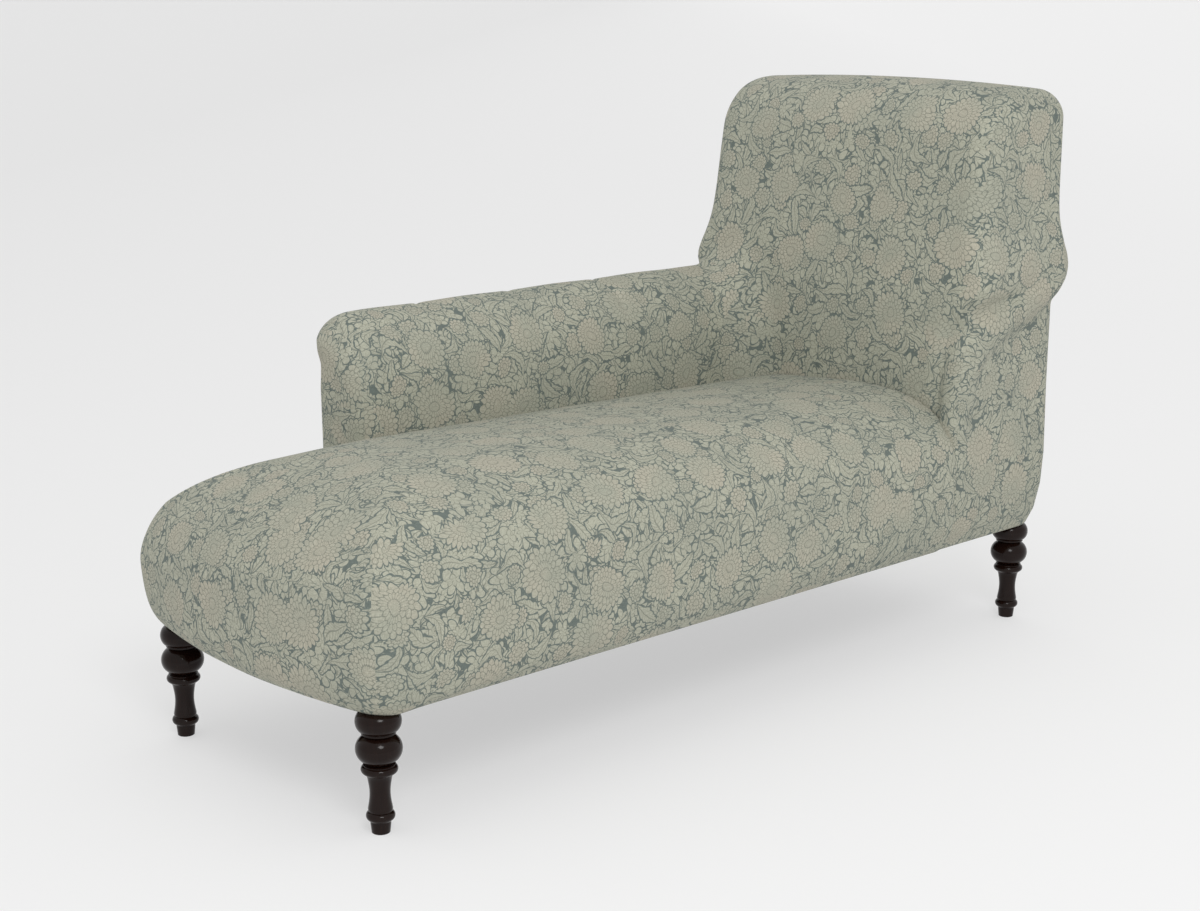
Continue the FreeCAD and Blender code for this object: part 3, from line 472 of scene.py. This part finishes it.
def steel():
    """Drawn spring wire."""
    finish = Finish("drawn_steel")
    where = finish.node("ShaderNodeTexCoord", None, (), "Object")
    scratch = finish.noise(where, 180.0, 4.0, 0.7)
    colour = finish.colour_mix(scratch, (0.30, 0.30, 0.31, 1.0), (0.52, 0.53, 0.55, 1.0))
    finish.feed(Base_Color=colour, Metallic=1.0, Roughness=scratch * 0.25 + 0.25)
    return finish.material


# Meshes

def clear_selection():
    if bpy.context.object and bpy.context.object.mode != "OBJECT":
        bpy.ops.object.mode_set(mode="OBJECT")
    bpy.ops.object.select_all(action="DESELECT")


def finished(piece, name, material):
    """Name a piece, give it its finish and let it ride on the part."""
    piece.name = name
    piece.data.name = name
    piece.data.materials.clear()
    piece.data.materials.append(material)
    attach(piece, "root")
    return piece


def points_of(mesh):
    flat = np.zeros(len(mesh.vertices) * 3)
    mesh.vertices.foreach_get("co", flat)
    return flat.reshape(-1, 3)


def set_points(mesh, points):
    mesh.vertices.foreach_set("co", points.astype(np.float32).ravel())
    mesh.update()


def even_faces(piece, step):
    """Cover a block with small square faces of one size."""
    remesh = piece.modifiers.new("even_faces", "REMESH")
    remesh.mode = "VOXEL"
    remesh.voxel_size = step
    bpy.ops.object.modifier_apply(modifier=remesh.name)


def smooth_step(low, high, value):
    share = np.clip((value - low) / (high - low), 0, 1)
    return share * share * (3 - 2 * share)


def outline_distance(across, up, outline):
    """Distance to a closed outline, negative inside it, and how far along it the nearest point lies."""
    nearest = np.full(across.shape, 1e9)
    along = np.zeros(across.shape)
    inside = np.zeros(across.shape, bool)
    run = 0.0
    for (a, b), (c, d) in zip(outline, np.roll(outline, -1, axis=0)):
        step_a, step_b = c - a, d - b
        length = math.hypot(step_a, step_b)
        share = np.clip(((across - a) * step_a + (up - b) * step_b) / length ** 2, 0, 1)
        squared = (across - a - share * step_a) ** 2 + (up - b - share * step_b) ** 2
        closer = squared < nearest
        nearest = np.where(closer, squared, nearest)
        along = np.where(closer, run + share * length, along)
        slope = step_a / step_b if step_b else 0.0
        inside ^= ((b > up) != (d > up)) & (across < a + (up - b) * slope)
        run += length
    return np.where(inside, -1, 1) * np.sqrt(nearest), along


def curve_through(points, steps=6):
    """A smooth open curve through points, both ends kept."""
    padded = [points[0], *points, points[-1]]
    rows = []
    for before, start, end, after in zip(padded, padded[1:], padded[2:], padded[3:]):
        before, start, end, after = [np.array(point, float) for point in (before, start, end, after)]
        for step in range(steps):
            t = step / steps
            rows.append(0.5 * (2 * start + (end - before) * t
                               + (2 * before - 5 * start + 4 * end - after) * t ** 2
                               + (3 * start - before - 3 * end + after) * t ** 3))
    rows.append(np.array(points[-1], float))
    return rows


def rounded_edge(first, second, radius):
    """Both distances met, with the edge between them rounded."""
    corner = np.hypot(np.maximum(radius + first, 0), np.maximum(radius + second, 0))
    return np.minimum(-radius, np.maximum(first, second)) + corner


def filled_corner(first, second, radius):
    """Either distance met, with the hollow between them filled to a radius."""
    corner = np.hypot(np.maximum(radius - first, 0), np.maximum(radius - second, 0))
    return np.maximum(radius, np.minimum(first, second)) - corner


def wall_section():
    """Section of the low back: y and z from the inside of the hem, over the roll, to the outside."""
    roll = curve_through([(WALL_INNER, 0.46), (WALL_INNER + 0.005, 0.515), (0.198, 0.558),
                          (0.222, 0.591), (0.253, 0.6135), (0.290, 0.6235), (0.324, 0.612),
                          (0.340, 0.586), (0.3335, 0.556), (0.3185, 0.535)], 5)
    side = curve_through([(0.316, 0.52), (0.3145, 0.42), *reversed(DRAWN_IN)], 4)
    return np.array([(WALL_INNER, HEM), *roll, *side])


def back_profile():
    """Side view of the high back: x and z from the hem, up the inside, over the top, to the rear."""
    front = BACK_FRONT
    inside = curve_through([(front, 0.52), (front + 0.006, 0.60), (front + 0.019, 0.68),
                            (front + 0.036, 0.77), (front + 0.050, 0.86), (front + 0.059, 0.905),
                            (front + 0.079, 0.940), (front + 0.112, 0.966), (front + 0.168, 0.9775),
                            (REAR - 0.030, 0.971), (REAR + BEYOND, 0.943)], 4)
    return np.array([(front, HEM), *inside, (REAR + BEYOND, HEM)])


def back_half_width(height, far):
    """Half width of the high back by height, flared out over the arm and, lower, the low back."""
    near_flare = 0.0225 * np.exp(-((height - 0.664) / 0.058) ** 2)
    far_flare = 0.024 * np.exp(-((height - 0.634) / 0.055) ** 2)
    half = np.where(far, 0.3225 + far_flare, 0.3190 + near_flare)
    return half - 0.034 * (1 - smooth_step(0.56, 0.64, height))


def arm_profile():
    """Side view of the short arm: x and z up its front edge and along its top."""
    front = ARM_FRONT
    edge = curve_through([(front + 0.020, 0.30), (front + 0.016, 0.40), (front + 0.023, 0.48),
                          (front + 0.037, 0.54), (front + 0.064, 0.578), (front + 0.100, 0.606),
                          (front + 0.170, 0.628)], 5)
    return np.array([(front + 0.022, HEM), *edge, (REAR + BEYOND, 0.64), (REAR + BEYOND, HEM)])


def roll_distance(points):
    """Distance to the arm's scroll: a rising line that grows from the front edge to the rear."""
    nearest = np.full(len(points), 1e9)
    for start, end in zip(ROLL_PATH, ROLL_PATH[1:]):
        low = np.array((start[0], -start[1], start[2]))
        step = np.array((end[0], -end[1], end[2])) - low
        share = np.clip((points - low) @ step / (step @ step), 0, 1)
        away = np.linalg.norm(points - low - share[:, None] * step, axis=1)
        nearest = np.minimum(nearest, away - (start[3] + share * (end[3] - start[3])))
    return nearest


def tub_distance(points, section, profile, arm):
    """Distance to the low back, high back and arm as one tight skin, negative inside."""
    x, y, z = points.T
    width = np.abs(y)
    low_back = outline_distance(y, z, section)[0]
    end_radius = 0.036 + 0.030 * smooth_step(0.50, 0.61, z)
    low_back = rounded_edge(low_back, LOW_BACK_FRONT - 0.005 - x, end_radius)

    arch = CREST_ARCH * (width / ARCH_HALF_WIDTH) ** 2
    back = outline_distance(x, z + arch * smooth_step(0.8, 0.95, z), profile)[0]
    edge_radius = np.where(y > 0, 0.033, 0.046)
    back = rounded_edge(back, width - back_half_width(z, y > 0), edge_radius)

    outer, height = np.array([*DRAWN_IN, (0.3115, 0.45), (0.312, 0.56)]).T
    outer = np.interp(z, height, outer)
    wing = outline_distance(x, z, arm)[0]
    turn_in = 0.006 + 0.012 * smooth_step(0.33, 0.42, z)
    wing = rounded_edge(wing, np.maximum(-y - outer, y + WING_INNER), turn_in)
    wing = filled_corner(wing, roll_distance(points), UNDER_ROLL_RADIUS)

    inner = 1 - smooth_step(0.215, 0.275, width)
    rim = 1 - smooth_step(0.290, 0.322, width)
    ahead = 1 - smooth_step(0.57, 0.68, x)
    radius = SEAM_RADIUS + ahead * (0.009 + 0.028 * rim + (sizes().tub_corner - 0.04) * inner)
    whole = filled_corner(back, low_back, radius)
    # A fold runs down where the inside back meets the arm, and softens towards the arm's roll
    fold = SEAM_RADIUS + 0.020 * smooth_step(0.59, 0.67, z) * ahead
    whole = filled_corner(whole, wing, fold)
    whole = rounded_edge(whole, x - REAR, REAR_RADIUS)
    return rounded_edge(whole, HEM - z, HEM_RADIUS)


def slope_of(distance, points):
    """Value and outward direction of a distance at points."""
    step, least_slope = 0.0005, 0.3
    value = distance(points)
    slope = np.empty_like(points)
    for axis in range(3):
        moved = points.copy()
        moved[:, axis] += step
        slope[:, axis] = (distance(moved) - value) / step
    size = np.maximum(np.linalg.norm(slope, axis=1), least_slope)
    return value, slope / size[:, None]


def even_out(points, edges, share):
    """Move each point towards the middle of its neighbours."""
    total = np.zeros_like(points)
    count = np.zeros(len(points))
    for one, other in ((edges[:, 0], edges[:, 1]), (edges[:, 1], edges[:, 0])):
        for axis in range(3):
            total[:, axis] += np.bincount(one, points[other, axis], len(points))
        count += np.bincount(one, minlength=len(points))
    return points + share * (total / np.maximum(count, 1)[:, None] - points)


def edges_of(mesh):
    flat = np.zeros(len(mesh.edges) * 2, np.int64)
    mesh.edges.foreach_get("vertices", flat)
    return flat.reshape(-1, 2)


def wrap(mesh, distance, rounds):
    """Draw a mesh tight over the form that a distance describes, its faces kept even."""
    points = points_of(mesh)
    edges = edges_of(mesh)
    furthest = 0.05
    for turn in range(rounds):
        if turn:
            points = even_out(points, edges, 0.5)
        value, outward = slope_of(distance, points)
        points = points - np.clip(value, -furthest, furthest)[:, None] * outward
    value, outward = slope_of(distance, points)
    points = points - value[:, None] * outward
    set_points(mesh, points)
    return points


def stretch_of(points, corners, chart):
    """How far each face is stretched or squeezed on a chart, 0 where it lies true."""
    first, second, last = corners[:, 0], corners[:, 1], corners[:, 3]
    along, beside = points[second] - points[first], points[last] - points[first]
    length = np.maximum(np.linalg.norm(along, axis=1), 1e-6)
    lean = np.einsum("ij,ij->i", along, beside) / length
    height = np.sqrt(np.maximum(np.einsum("ij,ij->i", beside, beside) - lean ** 2, 1e-10))
    chart_along = (chart[second] - chart[first]) / length[:, None]
    chart_beside = (chart[last] - chart[first] - chart_along * lean[:, None]) / height[:, None]
    total = (chart_along ** 2 + chart_beside ** 2).sum(1)
    area = np.abs(chart_along[:, 0] * chart_beside[:, 1] - chart_along[:, 1] * chart_beside[:, 0])
    spread = np.sqrt(np.maximum(total ** 2 - 4 * area ** 2, 0))
    wide, narrow = np.sqrt((total + spread) / 2), np.sqrt(np.maximum((total - spread) / 2, 1e-8))
    return np.abs(np.log(np.maximum(wide, 1e-4))) + np.abs(np.log(narrow))


def map_cloth(mesh, points, charts):
    """Lay the cloth on: each face takes its place from the chart that stretches it least."""
    corners = np.zeros(len(mesh.loops), np.int64)
    mesh.loops.foreach_get("vertex_index", corners)
    corners = corners.reshape(-1, 4)
    uses = np.maximum(np.bincount(corners.ravel(), minlength=len(points)), 1)
    scores = []
    for chart in charts:
        score = np.minimum(stretch_of(points, corners, chart), 3)
        for _ in range(6):
            at_corner = np.bincount(corners.ravel(), np.repeat(score, 4), len(points)) / uses
            score = at_corner[corners].mean(1)
        scores.append(score)
    chosen = np.argmin(scores, axis=0)
    layer = mesh.uv_layers.new(name="cloth")
    places = np.stack(charts)[np.repeat(chosen, 4), corners.ravel()]
    layer.data.foreach_set("uv", places.astype(np.float32).ravel())


class ChaiseOperator(bpy.types.Operator):
    bl_options = {"REGISTER", "UNDO"}


class CHAISE_OT_backs(ChaiseOperator):
    """Wrap the low back, the high back and the short arm in one run of tight upholstery"""

    bl_idname = "chaise.backs"
    bl_label = "Back, low back and arm"

    def execute(self, context):
        step = sizes().mesh_step * 1.0
        clear_selection()
        # Blocks a little smaller than each form, which the wrapping then draws out
        bodies = [
            ((LOW_BACK_FRONT, WALL_INNER, HEM), (REAR, 0.33, 0.62)),
            ((BACK_FRONT, -0.32, HEM), (REAR, 0.32, 0.97)),
            ((ARM_FRONT + 0.01, -0.325, HEM), (REAR, -0.23, 0.62)),
        ]
        for low, high in bodies:
            low, high = Vector(low), Vector(high)
            bpy.ops.mesh.primitive_cube_add(size=1, location=(low + high) / 2, scale=high - low)
        tub = context.object
        for body in context.scene.objects:
            body.select_set(body.name.startswith("Cube"))
        bpy.ops.object.join()
        bpy.ops.object.transform_apply(location=True, rotation=True, scale=True)
        even_faces(tub, step)

        section, profile, arm = wall_section(), back_profile(), arm_profile()

        def distance(points):
            return tub_distance(points, section, profile, arm)

        points = wrap(tub.data, distance, 7)
        points = points + self.pleats(points, distance)
        set_points(tub.data, points)
        self.lay_cloth(tub.data, points, section, profile)
        bpy.ops.object.shade_smooth()
        finished(tub, "back_and_arm_upholstery", fabric())
        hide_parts("low_back_stuffing", "low_back_inside_cover", "low_back_outside_cover",
                    "arm_stuffing", "arm_inside_cover", "arm_outside_cover",
                    "high_back_stuffing", "inside_back_cover", "outside_back_cover")
        return {"FINISHED"}

    def pleats(self, points, distance):
        """Small folds drawn over the low back's rim, and the soft swell between them."""
        x, y, z = points.T
        spacing = sizes().pleat_spacing
        phase = (x - LOW_BACK_FRONT) / spacing
        away = np.abs(phase - np.round(phase)) * spacing
        on_rim = smooth_step(0.545, 0.60, z) * smooth_step(0.19, 0.22, y)
        on_rim = on_rim * (1 - smooth_step(0.34, 0.42, x)) * smooth_step(-0.36, -0.30, x)
        depth = sizes().pleat_depth
        fold_width = 0.007
        swell = 0.3 * depth * smooth_step(0, spacing / 2, away)
        moved = -depth * np.exp(-(away / fold_width) ** 2) + swell
        outward = slope_of(distance, points)[1]
        return (moved * on_rim)[:, None] * outward

    def lay_cloth(self, mesh, points, section, profile):
        """Over the wall, over the back, and straight on to the ends and the outside."""
        x, y, z = points.T
        width = np.abs(y)
        over_wall = outline_distance(width, z, section)[1]
        over_back = outline_distance(x, z, profile)[1]
        map_cloth(mesh, points, [
            np.stack([x - np.minimum(width, WALL_INNER), over_wall], 1),
            np.stack([0.5 - y, over_back], 1),
            np.stack([1.3 - x, z + 0.4], 1),
            np.stack([y + 0.9, z + 0.2], 1),
        ])


class CHAISE_OT_seat(ChaiseOperator):
    """Make the crowned seat with its bowed foot end and drawn-in sides"""

    bl_idname = "chaise.seat"
    bl_label = "Seat"

    def execute(self, context):
        step = sizes().mesh_step * 1.0
        clear_selection()
        low = SEAT_BOX[0]
        bpy.ops.mesh.primitive_cube_add(
            size=1, location=((low.x + BACK_FRONT) / 2, 0, (HEM + CROWN_HEIGHT) / 2),
            scale=(BACK_FRONT - low.x - 0.02, 0.62, CROWN_HEIGHT - HEM))
        seat = context.object
        bpy.ops.object.transform_apply(location=True, rotation=True, scale=True)
        even_faces(seat, step)
        points = wrap(seat.data, self.distance, 8)
        self.lay_cloth(seat.data, points)
        bpy.ops.object.shade_smooth()
        finished(seat, "seat_upholstery", fabric())
        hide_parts("seat_cover", "seat_stuffing")
        return {"FINISHED"}

    def rake(self, x, y):
        """How far the crown lies over its height in the middle of the seat."""
        return -0.02 * x - 0.08 * y

    def plan(self, x, y, z):
        """Distance to the seat's plan at its widest line: straight sides and a bowed foot end."""
        size = sizes()
        tip = SEAT_BOX[0].x
        low = 1 - smooth_step(HEM, size.swell_height, z)
        radius = size.foot_bow * (1 - 0.2 * low)
        bow = np.hypot(x - tip - radius, y) - radius
        bow = np.where(x < tip + radius, bow, x - tip - 2 * radius)
        return rounded_edge(np.abs(y) - SEAT_HALF_WIDTH, bow, size.seat_corner + 0.016 * low)

    def distance(self, points):
        x, y, z = points.T
        size = sizes()
        inset = -self.plan(x, y, z)
        # Upper part: a full shoulder that runs into the crown, softer at the foot, tilted by the rake
        foot = 1 - smooth_step(-0.72, -0.35, x)
        reach, fullness = 0.275 + 0.065 * foot, 2.5 - 0.2 * foot
        widest = size.swell_height - 0.024 * foot
        shoulder = size.seat_shoulder + 0.024 * foot
        over = (z - widest) / shoulder
        level = over - smooth_step(0, 0.3, over) * self.rake(x, y) / shoulder
        run = np.clip((reach - inset) / reach, 0, None)
        radius = (run ** fullness + np.clip(level, 0, None) ** fullness) ** (1 / fullness)
        upper = (radius - 1) * shoulder
        # Lower part: drawn in to the hem, less so at the foot
        share = np.clip((widest - z) / (widest - HEM), 0, 1.05)
        swell = size.seat_swell * (1 - 0.13 * (1 - smooth_step(-0.72, -0.62, x)))
        drawn = swell * share ** 4.2
        seat = np.where(level > 0, upper, np.maximum(drawn - inset, -0.1))
        seat = rounded_edge(seat, HEM - z, HEM_RADIUS)
        # Where the backs and the arm press on it, the seat ends just inside them
        inside = 0.004
        behind = x - BACK_FRONT - inside
        under_wall = np.minimum(y - WALL_INNER - inside, x - LOW_BACK_FRONT - 0.030)
        by_arm = np.minimum(-y - 0.290, x - ARM_FRONT - 0.026)
        return np.maximum.reduce([seat, behind, under_wall, by_arm])

    def lay_cloth(self, mesh, points):
        """Flat over the crown, and down the sides by the length over the shoulder."""
        x, y, z = points.T
        size = sizes()
        margin, roll_drop, roll_length = 0.14, 0.125, 0.205
        inset = np.clip(-self.plan(x, y, z), 0, None)
        down = np.clip(margin - inset, 0, None)
        drop = np.clip(size.swell_height + size.seat_shoulder - 0.008 + self.rake(x, y) - z, 0, None)
        rolled = smooth_step(0, 0.09, drop)
        over = np.hypot(down, drop) * 1.08 * rolled + down * (1 - rolled)
        over = np.where(drop > roll_drop, roll_length + (drop - roll_drop), over)
        across = np.where(inset > margin, y, np.sign(y) * (SEAT_HALF_WIDTH - margin + over))
        map_cloth(mesh, points, [
            np.stack([x, across], 1),
            np.stack([y, SEAT_BOX[0].x + margin - over], 1),
            np.stack([x, y], 1),
        ])


class CHAISE_OT_legs(ChaiseOperator):
    """Turn one leg and repeat it at the four corners"""

    bl_idname = "chaise.legs"
    bl_label = "Turned legs"

    def execute(self, context):
        clear_selection()
        low, high = LEG_BOX
        places = [(x, y) for x in (low.x + LEG_TO_EDGE, high.x - LEG_TO_EDGE)
                  for y in (low.y + LEG_TO_EDGE, high.y - LEG_TO_EDGE)]
        steps = self.outline()
        round_faces = 64
        x, y = places[0]
        bpy.ops.mesh.primitive_circle_add(vertices=round_faces, radius=steps[0][1], fill_type="NGON",
                                          location=(x, y, steps[0][0]))
        leg = context.object
        bpy.ops.object.mode_set(mode="EDIT")
        bpy.ops.mesh.select_all(action="SELECT")
        for (height, radius), (next_height, next_radius) in zip(steps, steps[1:]):
            bpy.ops.mesh.extrude_region_move(
                TRANSFORM_OT_translate={"value": (0, 0, next_height - height)})
            share = next_radius / radius
            bpy.ops.transform.resize(value=(share, share, 1))
        bpy.ops.mesh.select_all(action="SELECT")
        bpy.ops.mesh.normals_make_consistent(inside=False)
        bpy.ops.object.mode_set(mode="OBJECT")
        bpy.ops.object.transform_apply(location=True, rotation=True, scale=True)
        bpy.ops.object.shade_smooth_by_angle(angle=math.radians(32))
        material = polished_leg()
        for number, (other_x, other_y) in enumerate(places):
            copy = leg if number == 0 else leg.copy()
            if number:
                copy.data = leg.data.copy()
                context.collection.objects.link(copy)
                set_points(copy.data, points_of(leg.data) + np.array((other_x - x, other_y - y, 0)))
        legs = [piece for piece in context.scene.objects if piece.name.startswith("Circle")]
        for number, copy in enumerate(legs):
            finished(copy, "turned_leg_%d" % (number + 1), material)
            if number == 0:
                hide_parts("turned_legs")
        return {"FINISHED"}

    def outline(self):
        """Height and radius up the leg: toe, ring, waisted shaft, collar, ball and bun."""
        steps = [(0.0, 0.0122), (0.0008, 0.0131), (0.014, 0.0145), (0.0172, 0.0142), (0.0182, 0.0160)]
        steps += self.bead(0.0188, 0.0320, 0.0205, 0.0060)
        steps += [(0.0328, 0.0172), (0.036, 0.0175)]
        for share in np.linspace(0.1, 1, 10):
            waist = 0.0030 * math.sin(math.pi * share)
            steps.append((0.036 + 0.047 * share, 0.0175 - waist + 0.0002 * share))
        steps += [(0.0865, 0.0195), (0.0875, 0.0215)]
        steps += self.bead(0.0880, 0.1000, 0.0260, 0.0058)
        steps += [(0.1006, 0.0218), (0.1014, 0.0226)]
        steps += self.bead(0.1020, 0.1458, 0.0330, 0.0219)
        steps += [(0.1463, 0.0244), (0.1472, 0.0244)]
        steps += self.bead(0.1478, 0.1800, 0.0325, 0.0125)
        steps += [(0.1800, 0.010)]
        return steps

    def bead(self, low, high, radius, depth):
        """A rounded bead between two heights that stands out by its depth."""
        middle, half = (low + high) / 2, (high - low) / 2
        rows = []
        for share in np.linspace(-0.94, 0.94, 13):
            rows.append((middle + half * share, radius - depth * (1 - math.sqrt(1 - share * share))))
        return rows


class CHAISE_OT_inside(ChaiseOperator):
    """Finish the hidden frame, the webbing, the springs and the cloth under the seat"""

    bl_idname = "chaise.inside"
    bl_label = "Frame and suspension"

    def execute(self, context):
        wood = timber()
        metal = steel()
        webbing = woven("jute_webbing", (0.16, 0.11, 0.06, 1), (0.36, 0.27, 0.16, 1), 0.004)
        hessian = woven("hessian", (0.27, 0.20, 0.11, 1), (0.52, 0.41, 0.25, 1), 0.002)
        dust = woven("dust_cloth", (0.012, 0.012, 0.013, 1), (0.035, 0.035, 0.037, 1), 0.0015)
        for name, node in frame["nodes"].items():
            material = wood
            if "webbing" in name:
                material = webbing
            elif "hessian" in name or "canvas" in name:
                material = hessian
            elif name == "dust_cover":
                material = dust
            elif name == "seat_springs":
                material = metal
            node.data.materials.clear()
            node.data.materials.append(material)
        return {"FINISHED"}


class CHAISE_OT_stage(ChaiseOperator):
    """Set the pale floor, the soft lights and the camera"""

    bl_idname = "chaise.stage"
    bl_label = "Stage"

    def execute(self, context):
        clear_selection()
        bpy.ops.mesh.primitive_plane_add(size=240, location=(0, 0, 0))
        floor = context.object
        floor.name = "studio_floor"
        finish = Finish("studio_floor")
        where = finish.node("ShaderNodeTexCoord", None, (), "Object")
        x, y, _ = finish.split(where)
        # The floor glows a little, a painted light that lifts the shadow under the chaise and lights it
        # from below, and it glows more to the right of the picture as a painted fall of light
        across = ((x - y) * 0.09 + 0.5).most(0.0).least(1.0)
        glow = finish.colour_mix(across, rgba(colours().floor, 0.93), rgba(colours().floor, 1.10))
        finish.feed(Base_Color=(0.37, 0.37, 0.37, 1.0), Roughness=0.8, Specular_IOR_Level=0.1,
                    Emission_Color=glow, Emission_Strength=1.0)
        floor.data.materials.append(finish.material)

        world = bpy.data.worlds.new("studio")
        context.scene.world = world
        world.use_nodes = True
        background = world.node_tree.nodes["Background"]
        background.inputs["Color"].default_value = (1, 1, 1, 1)
        background.inputs["Strength"].default_value = WORLD_LIGHT

        for name, place, size, power in LAMPS:
            bpy.ops.object.light_add(type="AREA", location=place)
            light = context.object
            light.name = name
            light.data.shape = "DISK"
            light.data.size = size
            light.data.energy = power
            aim = STUDIO_AIM - Vector(place)
            light.rotation_euler = aim.to_track_quat("-Z", "Y").to_euler()

        turned = (math.radians(CAMERA_TILT), 0, math.radians(CAMERA_TURN))
        bpy.ops.object.camera_add(location=CAMERA_PLACE, rotation=turned)
        camera = context.object
        camera.data.lens = CAMERA_LENS
        camera.data.sensor_width = CAMERA_SENSOR
        camera.data.clip_end = 500
        context.scene.camera = camera
        context.scene.view_settings.view_transform = "Standard"
        return {"FINISHED"}


class CHAISE_PT_panel(bpy.types.Panel):
    """Lists the pieces in the order in which they are made."""

    bl_idname = "CHAISE_PT_panel"
    bl_label = "Chaise longue"
    bl_space_type = "VIEW_3D"
    bl_region_type = "UI"
    bl_category = "Chaise"

    def draw(self, context):
        column = self.layout.column()
        for group in (context.scene.chaise_sizes, context.scene.chaise_colours):
            for name in group.bl_rna.properties.keys():
                if name not in ("rna_type", "name"):
                    column.prop(group, name)
        for operator in PIECES:
            column.operator(operator.bl_idname)


PIECES = (CHAISE_OT_inside, CHAISE_OT_legs, CHAISE_OT_seat, CHAISE_OT_backs, CHAISE_OT_stage)
CLASSES = (ChaiseSizes, ChaiseColours, *PIECES, CHAISE_PT_panel)


def register():
    for item in CLASSES:
        bpy.utils.register_class(item)
    bpy.types.Scene.chaise_sizes = bpy.props.PointerProperty(type=ChaiseSizes)
    bpy.types.Scene.chaise_colours = bpy.props.PointerProperty(type=ChaiseColours)


def unregister():
    del bpy.types.Scene.chaise_colours
    del bpy.types.Scene.chaise_sizes
    for item in reversed(CLASSES):
        bpy.utils.unregister_class(item)


def main():
    register()
    bpy.ops.chaise.inside()
    bpy.ops.chaise.legs()
    bpy.ops.chaise.seat()
    bpy.ops.chaise.backs()
    bpy.ops.chaise.stage()


if __name__ == "__main__":
    main()
